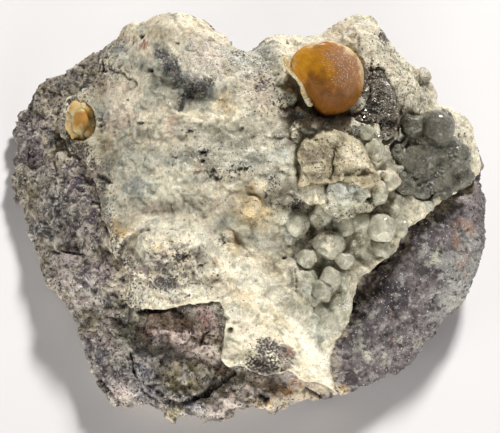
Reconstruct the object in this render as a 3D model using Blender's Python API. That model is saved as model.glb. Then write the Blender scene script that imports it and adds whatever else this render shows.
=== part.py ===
"""Ferrierite specimen: amber balls on a pale chalcedony crust that caps a lump of volcanic rock.

The broad front face is laid out in its own frame, in millimetres: u runs right, v up the face
and w out of it. The face leans back, and its outline is the one seen from VIEW_DISTANCE.
"""

import math

import bmesh
import bpy
import numpy as np
from mathutils import Vector, noise
from mathutils.geometry import delaunay_2d_cdt

MM = 0.001

# Pose of the face in the world
FACE_ANGLE = math.radians(60.0)
VIEW_DISTANCE = 300.0
FACE_HEIGHT = 22.5

# Triangle sizes, millimetres
CRUST_STEP = 1.75
ROCK_STEP = 2.15
LONGEST_EDGE = 1.9
WALL_RINGS = 5
FOOT_STEP = 9.0
FOOT_SMOOTHING = 24

# Thickness of the crust and the gaps between pieces, millimetres
CRUST_MIDDLE = 4.2
CRUST_RIM = 2.6
CRUST_FEATHER = 1.0
PIECE_GAP = 0.3
SEAT_GAP = 0.35

# Outline of the specimen as seen square on to the face, clockwise from the left tip
OUTLINE = [
    (-33.6, 4.4), (-33.3, 6.5), (-32.8, 9.3), (-32.8, 12.1), (-32.3, 14.5), (-31.1, 16.0),
    (-30.4, 17.4), (-28.7, 19.1), (-26.9, 19.7), (-24.9, 20.5), (-23.9, 21.4), (-23.7, 22.1),
    (-22.1, 22.9), (-20.6, 22.9), (-19.5, 23.9), (-18.5, 25.0), (-17.4, 26.5), (-15.5, 27.0),
    (-13.4, 27.9), (-11.2, 28.4), (-8.7, 28.4), (-6.3, 27.4), (-5.2, 26.3), (-3.4, 25.4),
    (-2.4, 23.9), (-0.7, 23.0), (0.6, 23.6), (2.2, 24.9), (4.3, 25.4), (6.4, 24.9), (8.7, 25.2),
    (10.9, 25.9), (12.9, 27.4), (15.0, 28.2), (16.9, 27.7), (18.3, 26.1), (19.5, 24.6),
    (20.4, 23.0), (21.6, 21.9), (22.8, 20.8), (24.9, 19.4), (25.8, 17.4), (26.2, 15.6),
    (28.0, 15.1), (30.0, 13.8), (31.1, 11.3), (31.9, 9.2), (32.5, 7.2), (31.4, 5.5), (32.5, 3.7),
    (33.0, 1.6), (32.9, -1.2), (32.3, -4.6), (31.5, -7.8), (30.7, -10.7), (29.5, -12.8),
    (26.6, -14.9), (25.6, -16.9), (24.1, -18.6), (22.5, -20.5), (20.4, -21.8), (17.6, -23.0),
    (15.0, -24.4), (12.3, -24.7), (10.6, -25.7), (7.0, -26.0), (5.3, -26.7), (3.5, -27.7),
    (1.7, -27.1), (-0.1, -26.3), (-1.7, -27.4), (-3.6, -28.5), (-6.3, -28.5), (-8.7, -27.9),
    (-10.1, -28.1), (-10.8, -29.2), (-11.8, -28.1), (-12.9, -27.1), (-15.4, -26.4), (-17.4, -26.7),
    (-19.6, -26.4), (-21.3, -23.7), (-22.3, -20.9), (-23.0, -18.0), (-23.9, -15.6), (-25.2, -13.1),
    (-26.3, -11.6), (-28.7, -9.6), (-29.5, -7.1), (-30.1, -4.1), (-30.9, -1.2), (-31.9, 0.9),
    (-33.0, 2.7),
]

# Edge of the crust across the face: down its left side, along the foot, and up its right side
CRUST_LEFT_EDGE = [
    (-19.5, 23.9), (-20.4, 22.5), (-21.4, 21.1), (-21.2, 19.4), (-23.0, 17.8),
    (-25.6, 16.8), (-26.9, 13.9), (-26.5, 11.2), (-25.2, 9.4), (-22.9, 7.9), (-21.6, 6.0),
    (-21.3, 3.7), (-21.1, 1.5), (-20.3, -0.6), (-19.6, -2.6), (-19.9, -4.4), (-18.5, -5.8),
    (-16.9, -7.5), (-17.1, -9.6), (-17.6, -11.7), (-16.2, -13.0),
]
CRUST_FOOT_EDGE = [
    (-14.0, -13.0), (-11.9, -12.7), (-9.8, -12.3), (-7.7, -12.0), (-5.6, -11.7), (-3.8, -11.8),
    (-3.2, -13.7), (-3.8, -15.9), (-3.5, -18.0), (-3.9, -19.8), (-2.9, -20.9), (-1.3, -20.5),
    (0.3, -21.2), (1.7, -22.3), (3.6, -22.1), (5.6, -21.6), (6.9, -22.8), (8.7, -23.2),
    (10.4, -23.7), (12.3, -24.7),
]
CRUST_RIGHT_EDGE = [
    (11.5, -22.6), (11.3, -20.4), (11.6, -18.1), (12.7, -16.5), (13.9, -14.6), (14.6, -12.8),
    (14.6, -10.6), (15.3, -8.5), (16.9, -7.2), (18.9, -5.8), (20.9, -4.1), (21.7, -2.2),
    (23.8, -0.6), (25.5, 0.8), (26.7, 2.5), (28.8, 3.6), (31.4, 5.5),
]

# Broad shape of the face: height w at chosen places (u, v)
RIM_LEVELS = [
    (-33.6, 4.4, -25.4), (-32.8, 9.3, -28.3), (-32.3, 14.5, -30.8), (-30.4, 17.4, -31.3),
    (-26.9, 19.7, -29.8), (-23.8, 21.4, -27.3), (-20.6, 22.9, -24.6), (-18.5, 25.0, -22.6),
    (-15.5, 27.0, -19.8), (-13.3, 27.9, -17.2), (-11.2, 28.4, -13.9), (-8.7, 28.4, -11.2),
    (-5.5, 26.5, -8.9), (-2.9, 24.7, -7.9), (0.0, 22.9, -6.9), (5.6, 25.1, -8.1),
    (10.5, 25.3, -8.3), (14.0, 27.9, -10.3), (16.2, 27.9, -10.9), (20.4, 23.0, -10.4),
    (25.2, 19.1, -12.2), (26.2, 15.6, -11.9), (29.1, 14.4, -13.5), (32.5, 7.2, -13.4),
    (31.4, 5.5, -14.1), (33.0, 1.6, -13.6), (32.5, -4.4, -12.5), (29.8, -12.7, -11.7),
    (26.6, -14.9, -11.0), (24.1, -18.6, -9.5), (20.4, -21.8, -8.8), (17.1, -23.2, -6.4),
    (12.3, -24.7, -5.4), (6.7, -26.0, -5.2), (3.5, -27.7, -3.6), (-3.5, -28.5, -2.6),
    (-8.7, -27.9, -3.5), (-15.4, -26.4, -4.4), (-19.6, -26.4, -5.0), (-21.3, -23.6, -6.6),
    (-22.7, -19.1, -9.2), (-23.9, -15.6, -11.2), (-26.3, -11.6, -12.9), (-28.7, -9.6, -14.7),
    (-30.0, -4.7, -19.2), (-30.9, -1.2, -21.8),
]
FACE_LEVELS = [
    (0.0, 0.1, -0.1), (2.5, 6.8, 0.7), (0.0, -4.7, 0.4), (5.2, 11.3, 1.0), (1.0, 16.0, -1.2),
    (-5.3, 21.2, -4.2), (-9.1, 26.8, -7.4), (-9.7, 23.3, -6.5), (-14.0, 24.7, -14.0),
    (-16.8, 21.9, -17.4), (-18.2, 17.0, -15.4), (-21.0, 12.1, -18.6), (-23.8, 13.9, -22.8),
    (-26.6, 13.5, -25.7), (-29.4, 7.9, -24.9), (-23.8, 3.7, -16.2), (-21.0, 0.1, -10.5),
    (-28.0, -1.9, -17.2), (-14.0, 12.1, -8.1), (-14.0, 5.1, -6.4), (-14.0, 0.1, -5.8),
    (-7.0, 17.7, -4.4), (-7.0, 12.1, -4.1), (-7.0, 5.1, -3.5), (-7.0, 0.1, -2.9),
    (-3.5, -5.4, -0.3), (-14.0, -2.6, -4.8), (-14.0, -7.5, -4.7), (-9.1, -10.3, -2.6),
    (-21.0, -11.7, -9.4), (-24.5, -10.3, -11.4), (-21.0, -18.7, -7.1), (-18.2, -22.9, -5.3),
    (-14.0, -17.3, -6.4), (-8.4, -14.5, -5.5), (-8.4, -21.5, -3.8), (-14.0, -25.7, -4.1),
    (-4.9, -24.3, -2.7), (0.0, -16.6, -0.2), (-1.4, -11.7, 1.0), (4.2, -11.7, 3.3),
    (6.0, -14.2, 3.3), (7.4, -17.3, 2.5), (9.1, -21.5, -0.9), (2.8, -20.1, -1.7),
    (1.4, -25.0, -2.3), (7.0, -24.3, -3.3), (9.8, -17.3, 2.5), (11.2, -11.7, 1.9),
    (13.3, -11.7, 1.0), (13.3, -7.5, 0.4), (9.8, -4.7, -0.1), (7.0, 0.1, -0.1),
    (14.0, -2.6, -1.0), (18.2, -2.6, -2.0), (21.0, 0.1, -3.5), (16.1, -10.3, -3.3),
    (18.2, -15.9, -4.1), (14.7, -18.7, -3.1), (16.8, -21.5, -5.5), (23.8, -6.1, -6.3),
    (23.8, -13.1, -6.9), (28.7, -1.9, -9.3), (29.4, -7.5, -8.9), (26.6, 2.3, -7.7),
    (14.0, 3.0, 0.6), (18.2, 5.1, -1.8), (11.9, 7.9, 1.4), (7.0, 3.7, 0.2), (11.2, 13.2, -1.9),
    (10.7, 17.0, -3.6), (6.4, 17.5, -2.6), (7.0, 20.5, -3.2), (14.0, 23.3, -4.4),
    (15.4, 26.1, -6.4), (19.6, 19.8, -5.1), (18.9, 14.9, -5.1), (22.4, 16.3, -7.1),
    (20.3, 10.7, -4.4), (23.8, 12.1, -7.0), (26.6, 9.3, -8.3), (23.8, 5.1, -5.8),
    (29.4, 9.3, -10.0), (-2.1, 21.9, -4.6),
]
LEVEL_SOFTNESS = 2.5

# Roundness of the specimen's edge, and the share of it that the crust's underside follows
EDGE_REACH = 3.2
EDGE_DROP = 1.2
EDGE_STEEPNESS = 0.98
UNDERSIDE_DROP = 0.5

# Ridges: the line they follow, their height and half width
RIDGES = [
    ([(-10.1, 22.6), (-7.7, 20.5), (-4.9, 19.4), (-2.8, 17.7), (-0.7, 14.9), (1.7, 12.1)], 1.3, 1.5),
    ([(-14.6, -2.0), (-9.8, -1.8), (-6.3, -3.0), (-3.5, -5.4)], 1.4, 1.5),
    ([(-3.5, -5.4), (-0.7, -7.8), (1.7, -9.6), (4.2, -11.7), (6.0, -14.2)], 1.9, 1.6),
    ([(6.0, -14.2), (7.4, -16.6), (9.1, -19.4), (10.5, -23.6)], 1.6, 1.4),
    ([(-13.0, 9.0), (-8.5, 8.2), (-4.0, 9.6)], 0.7, 2.0),
    ([(-17.0, 19.5), (-13.5, 17.0), (-11.0, 13.5)], 0.8, 2.0),
    ([(-29.5, 12.5), (-27.0, 5.5), (-26.5, 0.5)], 0.9, 1.8),
    ([(19.6, -12.0), (24.0, -9.5), (28.5, -5.0)], 0.8, 1.8),
    ([(-19.5, -14.0), (-18.0, -18.5), (-17.0, -23.5)], 0.9, 1.5),
    ([(16.5, 25.5), (19.0, 21.5), (22.5, 18.5), (25.0, 15.5)], 0.9, 2.0),
]

# Hollows: centre, half sizes, turn in degrees and depth
HOLLOWS = [
    ((-9.3, 19.4), (4.6, 1.7), -42.0, 1.9),
    ((17.4, 16.6), (1.8, 3.2), 12.0, 1.9),
    ((13.6, 14.4), (2.0, 1.2), 0.0, 2.2),
    ((19.2, 13.0), (1.5, 2.3), 8.0, 2.3),
    ((7.0, 13.2), (2.6, 0.9), -20.0, 1.4),
    ((5.9, 12.0), (1.4, 1.1), 0.0, 1.2),
    ((8.6, -0.6), (3.0, 2.0), -30.0, 2.2),
    ((13.4, -1.6), (3.2, 1.4), 8.0, 1.8),
    ((17.0, -4.2), (3.4, 1.5), 20.0, 1.6),
    ((10.5, -10.5), (2.0, 4.2), 6.0, 1.2),
    ((21.5, 9.5), (2.2, 1.8), 0.0, 1.6),
    ((20.0, 3.0), (2.4, 1.3), 15.0, 1.1),
    ((25.6, 7.6), (4.6, 5.4), 10.0, 1.6),
    ((-14.9, 25.1), (0.9, 0.9), 0.0, 1.0),
    ((-16.9, -3.4), (2.4, 1.0), 32.0, 1.5),
    ((-20.4, 5.3), (1.6, 0.8), -15.0, 0.9),
    ((-26.5, 1.0), (1.8, 2.4), 10.0, 0.9),
    ((-24.5, 17.6), (3.0, 1.3), -12.0, 0.9),
    ((-10.5, -14.6), (5.6, 1.2), 8.0, 1.6),
    ((-5.2, -23.2), (4.6, 1.0), 33.0, 1.3),
    ((1.9, -25.3), (1.0, 1.0), 0.0, 1.3),
    ((9.3, -25.0), (1.2, 0.7), 0.0, 0.8),
    ((16.0, -11.6), (1.6, 4.0), 4.0, 1.0),
    ((24.5, -8.0), (1.6, 1.1), 0.0, 0.6),
    ((-17.6, -12.6), (1.0, 4.2), 6.0, 1.1),
]
HOLLOW_REACH = 1.35

# Grain of the surface: size and height of each scale of unevenness
CRUST_GRAIN = [(5.0, 0.75), (2.2, 0.5), (1.2, 0.3)]
ROCK_GRAIN = [(7.0, 0.9), (2.6, 0.45), (1.3, 0.25)]
WALL_GRAIN = [(8.0, 1.6), (3.2, 0.6)]
ROCK_BLOCK = 4.6
ROCK_BLOCK_TILT = 0.36
CRUST_SEED = 3.1
ROCK_SEED = 7.7
WALL_SEED = 1.9
BLOCK_SEED = 9.7

# The large ball; the facets of a ball are those around it and from pole to pole
BALL_CENTRE = (10.7, 19.3, -2.3)
BALL_RADII = (5.3, 5.3, 5.2)
BALL_SEAT_DEPTH = 2.2
BALL_FACETS = (22, 14)

# The small ball, a drop that runs down to a tail
SMALL_BALL_CENTRE = (-23.7, 13.2, -22.4)
SMALL_BALL_RADII = (1.75, 2.3, 1.7)
SMALL_BALL_SEAT_DEPTH = 0.8
SMALL_BALL_FACETS = (12, 8)

# Dishes that the balls sit in: how many points each ring has and where the wall stands in the dish
BALL_RING_POINTS = 20
SMALL_BALL_RING_POINTS = 12
SEAT_WALL = 0.95
SEAT_WALL_GAP = 0.9
SEAT_FLOOR_SHARE = 0.94
SEATS = [
    (BALL_CENTRE, BALL_RADII, BALL_SEAT_DEPTH),
    (SMALL_BALL_CENTRE, SMALL_BALL_RADII, SMALL_BALL_SEAT_DEPTH),
]

# The calcite block: its top, clockwise, and how far it stands out and goes in
BLOCK_TOP = [
    (6.9, 9.0), (8.0, 10.9), (12.4, 11.3), (14.9, 9.6), (17.2, 6.6), (17.5, 5.0), (12.6, 4.9),
    (7.4, 4.9),
]
BLOCK_LEVEL = 2.0
BLOCK_SLOPE = (-0.07, -0.05)
BLOCK_DEPTH = 2.3
BLOCK_FLARE = 0.35
BLOCK_SPLIT = 11.6
BLOCK_STEP = 0.4

# Glassy botryoids on the right: centre and radius
CLUSTER = [
    ((26.3, 12.5, -7.6), 2.45), ((28.7, 8.6, -8.6), 2.2), ((29.4, 5.8, -10.0), 1.9),
    ((22.6, 12.8, -7.2), 1.6), ((24.6, 9.2, -7.2), 2.1), ((26.2, 6.0, -8.0), 2.1),
    ((23.1, 7.0, -6.9), 1.9), ((21.6, 4.6, -5.6), 1.7), ((23.9, 3.7, -7.1), 1.8),
    ((20.2, 8.6, -6.0), 1.7), ((26.8, 3.9, -9.0), 1.5),
]
CLUSTER_FACETS = (10, 7)
CLUSTER_SEAT_FACETS = (8, 5)

# Botryoids grown from the crust: centre across the face, radius and how far the centre stands out
BOTRYOIDS = [
    ((6.6, -1.0), 1.5, 0.2), ((9.9, -0.1), 1.5, 0.1), ((11.1, -3.9), 1.6, 0.6),
    ((13.0, -1.2), 1.2, 0.3), ((13.2, -6.1), 0.9, 0.3), ((11.2, -8.6), 1.4, 0.2),
    ((9.8, -10.6), 1.3, 0.2), ((18.2, -1.3), 1.8, 0.1), ((18.5, -4.3), 1.3, 0.1),
    ((15.6, -1.0), 1.2, 0.1), ((21.0, -1.6), 1.2, 0.1),
    ((14.6, 12.0), 0.9, 0.2), ((16.3, 11.8), 0.9, 0.3), ((17.3, 9.2), 1.1, 0.2),
    ((6.4, 12.3), 1.0, 0.3), ((9.0, 12.4), 0.8, 0.3),
    ((17.9, 3.0), 1.1, 0.2), ((19.6, 5.6), 1.2, 0.2), ((16.4, 1.6), 0.9, 0.2),
    ((0.4, 1.3), 1.3, 0.2), ((24.4, 19.3), 0.8, 0.1), ((10.4, -15.0), 1.1, 0.1),
    ((8.0, -6.0), 1.3, -0.1),
]
BOTRYOID_FACETS = (8, 5)

# Dark druse that lines the cavity beside the large ball
DRUSE_OUTLINE = [
    (13.6, 13.9), (15.9, 14.8), (17.0, 17.4), (16.9, 20.2), (18.4, 20.4), (20.0, 17.6),
    (20.9, 14.6), (20.4, 11.5), (18.9, 10.6), (18.2, 13.2), (15.9, 13.4),
]
DRUSE_STEP = 0.75
DRUSE_EDGE_STEP = 0.975
DRUSE_THICKNESS = 1.2
DRUSE_POINT = 0.8
DRUSE_GAP = 0.85
DRUSE_BODY = 0.5

# Foot and walls of the rock, millimetres, or shares of the wall's height
FOOT_INSET = 1.3
FOOT_UNDERCUT = 0.66
BACK_TAPER = 0.13
BACK_BULGE = 0.14
WALL_SMOOTHING = 3
ROUGH_FROM_HEIGHT = 8.0

# Finer points of the two sheets, millimetres
THINNING_REACH = 5.0
LEAST_THICKNESS = 0.7
PROUD_EDGE = 0.8
PROUD_REACH = 3.0
FLOOR_DIPS = [
    ((10.8, 19.5), 10.0, 1.6), ((12.4, 8.0), 8.0, 0.6), ((26.0, 8.0), 10.0, 1.6),
    ((-23.7, 13.2), 5.0, 1.8), ((19.2, 12.6), 8.0, 2.6),
]
ROCK_STEPS = [
    (CRUST_LEFT_EDGE, CRUST_FEATHER + PIECE_GAP, 2.2),
    (CRUST_FOOT_EDGE, CRUST_RIM + PIECE_GAP, 3.6),
    (CRUST_RIGHT_EDGE, CRUST_RIM + PIECE_GAP, 3.0),
]
HIDDEN_STEP = 3.7
RIM_QUIET = 0.75
RIM_QUIET_REACH = 3.0
GRID_HALF_WIDTH = 36.0
GRID_HALF_HEIGHT = 31.0
GRID_JITTER = 0.22
EDGE_WOBBLE = 0.09
LIP_WIDTH = 0.24
POCKET_EDGE = 2.6
CLEAR_OF_LINES = 0.55
ON_LINE = 1e-3
SAME_POINT = 1e-5
WELD = 1e-7

# Seeds of the jittered grids
CRUST_GRID = 5
ROCK_GRID = 8
HIDDEN_GRID = 11
FOOT_GRID = 2
DRUSE_GRID = 21
DRUSE_POINTS_SEED = 4

# Flatter than this angle, in degrees, a ball is shaded smooth
BALL_SMOOTH_BELOW = 40.0
CLUSTER_SMOOTH_BELOW = 50.0


# Noise and distance helpers

def grain(points, scales, seed):
    """Sum of smooth noise at each (size, height) scale for an array of points."""
    total = np.zeros(len(points))
    for size, height in scales:
        for index, point in enumerate(points):
            where = Vector(point).to_3d()
            total[index] += height * noise.noise(where / size + Vector((seed, seed, seed)))
    return total


def blocks(points):
    """Tilted flat chips, as broken rock shows them."""
    total = np.zeros(len(points))
    for index, (u, v) in enumerate(points):
        spot = Vector((u, v, 0.0)) / ROCK_BLOCK
        nearest = noise.voronoi(spot)[1][0]
        lean = noise.cell_vector(nearest * BLOCK_SEED)
        away = (spot - nearest) * ROCK_BLOCK
        total[index] = ROCK_BLOCK_TILT * ((lean.x - 0.5) * away.x + (lean.y - 0.5) * away.y) * 2.0
        total[index] += lean.z - 0.5
    return total


def line_distance(points, line):
    """Distance from each point to a line of straight runs, and the share of it run at the nearest spot."""
    best = np.full(len(points), np.inf)
    along = np.zeros(len(points))
    travelled = 0.0
    for start, end in zip(line[:-1], line[1:]):
        start, run = np.array(start), np.array(end) - np.array(start)
        length = np.hypot(*run)
        share = np.clip((points - start) @ run / length**2, 0.0, 1.0)
        distance = np.hypot(*(points - start - share[:, None] * run).T)
        closer = distance < best
        best[closer] = distance[closer]
        along[closer] = travelled + share[closer] * length
        travelled += length
    return best, along / travelled


def closed_distance(points, ring):
    return line_distance(points, list(ring) + [ring[0]])[0]


def inside(points, ring):
    """Which points lie inside a closed ring, by counting crossings."""
    ring = np.array(ring)
    result = np.zeros(len(points), bool)
    for (ua, va), (ub, vb) in zip(ring, np.roll(ring, -1, axis=0)):
        if va == vb:
            continue
        spans = (va > points[:, 1]) != (vb > points[:, 1])
        crossing = ua + (points[:, 1] - va) * (ub - ua) / (vb - va)
        result ^= spans & (points[:, 0] < crossing)
    return result


def with_short_edges(line, longest=LONGEST_EDGE):
    """The line with points added along its long runs, each a little to one side as a broken edge runs."""
    result = [line[0]]
    for start, end in zip(line[:-1], line[1:]):
        start, run = np.array(start), np.array(end) - np.array(start)
        parts = math.ceil(np.hypot(*run) / longest)
        sideways = np.array([-run[1], run[0]]) / np.hypot(*run) * EDGE_WOBBLE
        for part in range(1, parts):
            side = (-1) ** len(result)
            result.append(tuple((start + run * part / parts + side * sideways).tolist()))
        result.append(end)
    return result


# Shape of the face

def surface_through(levels):
    """A smooth height function through chosen (u, v, w) levels."""
    levels = np.array(levels)
    places, heights = levels[:, :2], levels[:, 2]

    def spread(a, b):
        apart = a[:, None, :] - b[None, :, :]
        return np.sqrt((apart**2).sum(axis=2) + LEVEL_SOFTNESS**2)

    weights = np.linalg.solve(spread(places, places), heights)
    return lambda points: spread(points, places) @ weights


def bump(distance, reach):
    """One at no distance, falling smoothly to zero at the reach."""
    share = np.clip(1.0 - distance / reach, 0.0, 1.0)
    return share * share * (3.0 - 2.0 * share)


def hollow_share(points, centre, sizes, turn):
    turn = math.radians(turn)
    away = points - np.array(centre)
    across = away[:, 0] * math.cos(turn) + away[:, 1] * math.sin(turn)
    up = away[:, 1] * math.cos(turn) - away[:, 0] * math.sin(turn)
    return bump(np.hypot(across / sizes[0], up / sizes[1]), HOLLOW_REACH)


def edge_drop(points):
    """How far the face rounds off towards the outline."""
    near = np.clip(1.0 - closed_distance(points, OUTLINE) / EDGE_REACH, 0.0, 1.0)
    return EDGE_DROP * (1.0 - np.sqrt(1.0 - near**2 * EDGE_STEEPNESS))


def features(points):
    """Ridges and hollows added to the broad shape."""
    height = np.zeros(len(points))
    for line, tall, half_width in RIDGES:
        height += tall * bump(line_distance(points, line)[0], 2.0 * half_width)
    for centre, sizes, turn, depth in HOLLOWS:
        height -= depth * hollow_share(points, centre, sizes, turn)
    return height


def seat(points, centre, radii, depth):
    """Floor of the dish that a ball sits in, and infinity away from it."""
    spread = radii[0] + SEAT_GAP, radii[1] + SEAT_GAP
    away = (points - np.array(centre[:2])) / np.array(spread)
    share = (away**2).sum(axis=1)
    dish = centre[2] - (radii[2] + SEAT_GAP) * np.sqrt(np.clip(1.0 - share, 0.0, 1.0))
    dish = np.maximum(dish, centre[2] - depth - SEAT_GAP) - SEAT_GAP
    return np.where(share < SEAT_FLOOR_SHARE, dish, np.inf)


def block_floor(points):
    grown = inside(points, grown_ring(BLOCK_TOP, BLOCK_FLARE + PIECE_GAP + LIP_WIDTH / 2.0))
    floor = block_level(points) - BLOCK_DEPTH - SEAT_GAP
    return np.where(grown, floor, np.inf)


def block_level(points):
    away = points - np.array(BLOCK_TOP[0])
    return BLOCK_LEVEL + away @ np.array(BLOCK_SLOPE)


def grown_ring(ring, margin):
    """A clockwise ring moved outwards by a margin."""
    ring = np.array(ring)
    run = np.roll(ring, -1, axis=0) - ring
    out = np.column_stack([-run[:, 1], run[:, 0]]) / np.hypot(*run.T)[:, None]
    corner = out + np.roll(out, 1, axis=0)
    corner /= (corner * out).sum(axis=1)[:, None]
    return [tuple(point) for point in (ring + corner * margin).tolist()]


def ellipse_ring(centre, radii, margin, count):
    turns = np.arange(count) * math.tau / count
    across = centre[0] + (radii[0] + margin) * np.cos(turns)
    up = centre[1] + (radii[1] + margin) * np.sin(turns)
    return list(zip(across.tolist(), up.tolist()))


# Levels of each sheet

def crust_outline():
    """The crust's outline: along the specimen's own outline, then back across the face."""
    first = FULL_OUTLINE.index(CRUST_EDGE[0])
    last = FULL_OUTLINE.index(CRUST_EDGE[-1])
    return FULL_OUTLINE[first:last + 1] + CRUST_EDGE[-2:0:-1]


FULL_OUTLINE = with_short_edges(OUTLINE + OUTLINE[:1])[:-1]
CRUST_EDGE = with_short_edges(CRUST_LEFT_EDGE + CRUST_FOOT_EDGE + CRUST_RIGHT_EDGE)
CRUST_OUTLINE = crust_outline()
BROAD_LEVEL = surface_through(RIM_LEVELS + FACE_LEVELS)


def crust_thickness(points):
    to_left = line_distance(points, CRUST_LEFT_EDGE)[0]
    to_other = np.minimum(
        line_distance(points, CRUST_FOOT_EDGE + CRUST_RIGHT_EDGE)[0],
        closed_distance(points, OUTLINE),
    )
    thinner = (CRUST_MIDDLE - CRUST_FEATHER) * bump(to_left, THINNING_REACH)
    thinner = np.maximum(thinner, (CRUST_MIDDLE - CRUST_RIM) * bump(to_other, THINNING_REACH))
    return CRUST_MIDDLE - thinner


def crust_floor(points):
    """Underside of the crust, smooth so that the rock beneath can follow it."""
    floor = BROAD_LEVEL(points) - UNDERSIDE_DROP * edge_drop(points) - crust_thickness(points)
    for centre, reach, depth in FLOOR_DIPS:
        floor -= depth * bump(np.hypot(*(points - np.array(centre)).T), reach)
    return floor


def crust_level(points):
    level = BROAD_LEVEL(points) - edge_drop(points) + features(points)
    to_edge = line_distance(points, CRUST_FOOT_EDGE + CRUST_RIGHT_EDGE)[0]
    level += PROUD_EDGE * bump(to_edge, PROUD_REACH)
    level += grain(points, CRUST_GRAIN, CRUST_SEED)
    for centre, radii, depth in SEATS:
        level = np.minimum(level, seat(points, centre, radii, depth))
    level = np.minimum(level, block_floor(points))
    lined = inside(points, grown_ring(DRUSE_OUTLINE, PIECE_GAP + LIP_WIDTH / 2.0))
    level = np.where(lined, druse_floor(points), level)
    return np.maximum(level, crust_floor(points) + LEAST_THICKNESS)


def rock_level(points):
    """The rock's face: open beside the crust, and following the crust's floor under it."""
    level = BROAD_LEVEL(points) - edge_drop(points) + features(points)
    quiet = 1.0 - RIM_QUIET * bump(closed_distance(points, OUTLINE), RIM_QUIET_REACH)
    level += (grain(points, ROCK_GRAIN, ROCK_SEED) + blocks(points)) * quiet
    for line, step, reach in ROCK_STEPS:
        level -= step * bump(line_distance(points, line)[0], reach)
    covered = inside(points, CRUST_OUTLINE) | (closed_distance(points, CRUST_OUTLINE) < ON_LINE)
    return np.where(covered, crust_floor(points) - PIECE_GAP, level)


def place(points):
    """Points (u, v, w) of the face frame as world positions in metres."""
    points = np.asarray(points, float)
    spread = (VIEW_DISTANCE - points[:, 2]) / VIEW_DISTANCE
    across = points[:, 0] * spread
    up = points[:, 1] * spread
    back = up * math.sin(FACE_ANGLE) - points[:, 2] * math.cos(FACE_ANGLE)
    height = FACE_HEIGHT + up * math.cos(FACE_ANGLE) + points[:, 2] * math.sin(FACE_ANGLE)
    return np.column_stack([across, back, height]) * MM


# Triangulation

def spaced_points(step, keep, seed):
    """A jittered triangular grid over the face."""
    chance = np.random.default_rng(seed)
    columns = np.arange(-GRID_HALF_WIDTH, GRID_HALF_WIDTH, step)
    rows = np.arange(-GRID_HALF_HEIGHT, GRID_HALF_HEIGHT, step * math.sin(math.pi / 3.0))
    grid = [(u + (index % 2) * step / 2.0, v) for index, v in enumerate(rows) for u in columns]
    grid = np.array(grid) + chance.uniform(-GRID_JITTER, GRID_JITTER, (len(grid), 2)) * step
    return grid[keep(grid)]


def triangulate(lines, step, keep, seed):
    """Triangles over the kept region, with every line among their edges."""
    grid = spaced_points(step, keep, seed)
    for line in lines:
        grid = grid[line_distance(grid, line)[0] > CLEAR_OF_LINES * step]
    edges = []
    known = {}
    for line in lines:
        ids = [known.setdefault(tuple(point), len(known)) for point in line]
        edges += [(a, b) for a, b in zip(ids[:-1], ids[1:]) if a != b]
    vertices = [Vector(point) for point in known] + [Vector(point) for point in grid]
    found = delaunay_2d_cdt(vertices, edges, [], 0, SAME_POINT)
    points = np.array([tuple(vertex) for vertex in found[0]])
    faces = np.array(found[2])
    ahead = points[faces[:, 1]] - points[faces[:, 0]]
    beside = points[faces[:, 2]] - points[faces[:, 0]]
    double_area = ahead[:, 0] * beside[:, 1] - ahead[:, 1] * beside[:, 0]
    faces[double_area < 0.0] = faces[double_area < 0.0][:, ::-1]
    kept = np.zeros(len(faces), bool)
    wanted = keep(points[faces].mean(axis=1))
    for region in regions_between(faces, edges):
        largest = region[np.argmax(abs(double_area[region]))]
        kept[region] = wanted[largest]
    return points, faces[kept]


def regions_between(faces, edges):
    """Groups of triangles that no drawn edge parts from each other."""
    drawn = {frozenset(edge) for edge in edges}
    sharing = {}
    for index, face in enumerate(faces.tolist()):
        for pair in (face[:2], face[1:], face[::2]):
            if frozenset(pair) not in drawn:
                sharing.setdefault(frozenset(pair), []).append(index)
    beside = [[] for _ in faces]
    for first, *rest in sharing.values():
        for second in rest:
            beside[first].append(second)
            beside[second].append(first)
    waiting = set(range(len(faces)))
    while waiting:
        region = [waiting.pop()]
        for index in region:
            found = waiting.intersection(beside[index])
            waiting -= found
            region += found
        yield np.array(region)


def lifted(points, heights):
    return np.column_stack([points, heights])


def strip(upper, lower):
    """Triangles between two closed loops of equal length, facing out where they run clockwise."""
    count = len(upper)
    corners = np.concatenate([upper, lower])
    this = np.arange(count)
    after = (this + 1) % count
    first = np.column_stack([this, after, this + count])
    second = np.column_stack([after, after + count, this + count])
    return corners[np.concatenate([first, second])]


# Building objects

def new_material(name, colour, roughness, transmission=0.0):
    material = bpy.data.materials.new(name)
    material.use_nodes = True
    shader = material.node_tree.nodes["Principled BSDF"]
    shader.inputs["Base Color"].default_value = (*colour, 1.0)
    shader.inputs["Roughness"].default_value = roughness
    shader.inputs["Transmission Weight"].default_value = transmission
    return material


def add_object(name, mesh_builder, material=None, smooth_below=None):
    """A mesh object from a filled bmesh, with its loose ends welded and its faces turned outwards."""
    bmesh.ops.remove_doubles(mesh_builder, verts=mesh_builder.verts, dist=WELD)
    bmesh.ops.recalc_face_normals(mesh_builder, faces=mesh_builder.faces)
    mesh = bpy.data.meshes.new(name)
    mesh_builder.to_mesh(mesh)
    mesh_builder.free()
    if smooth_below is not None:
        mesh.shade_smooth()
        mesh.set_sharp_from_angle(angle=math.radians(smooth_below))
    obj = bpy.data.objects.new(name, mesh)
    bpy.context.collection.objects.link(obj)
    if material:
        mesh.materials.append(material)
    return obj


def builder_of(triangles):
    """A bmesh that holds world triangles given as an array (n, 3 corners, 3)."""
    built = bmesh.new()
    for triangle in triangles:
        built.faces.new([built.verts.new(corner) for corner in triangle])
    return built


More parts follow.
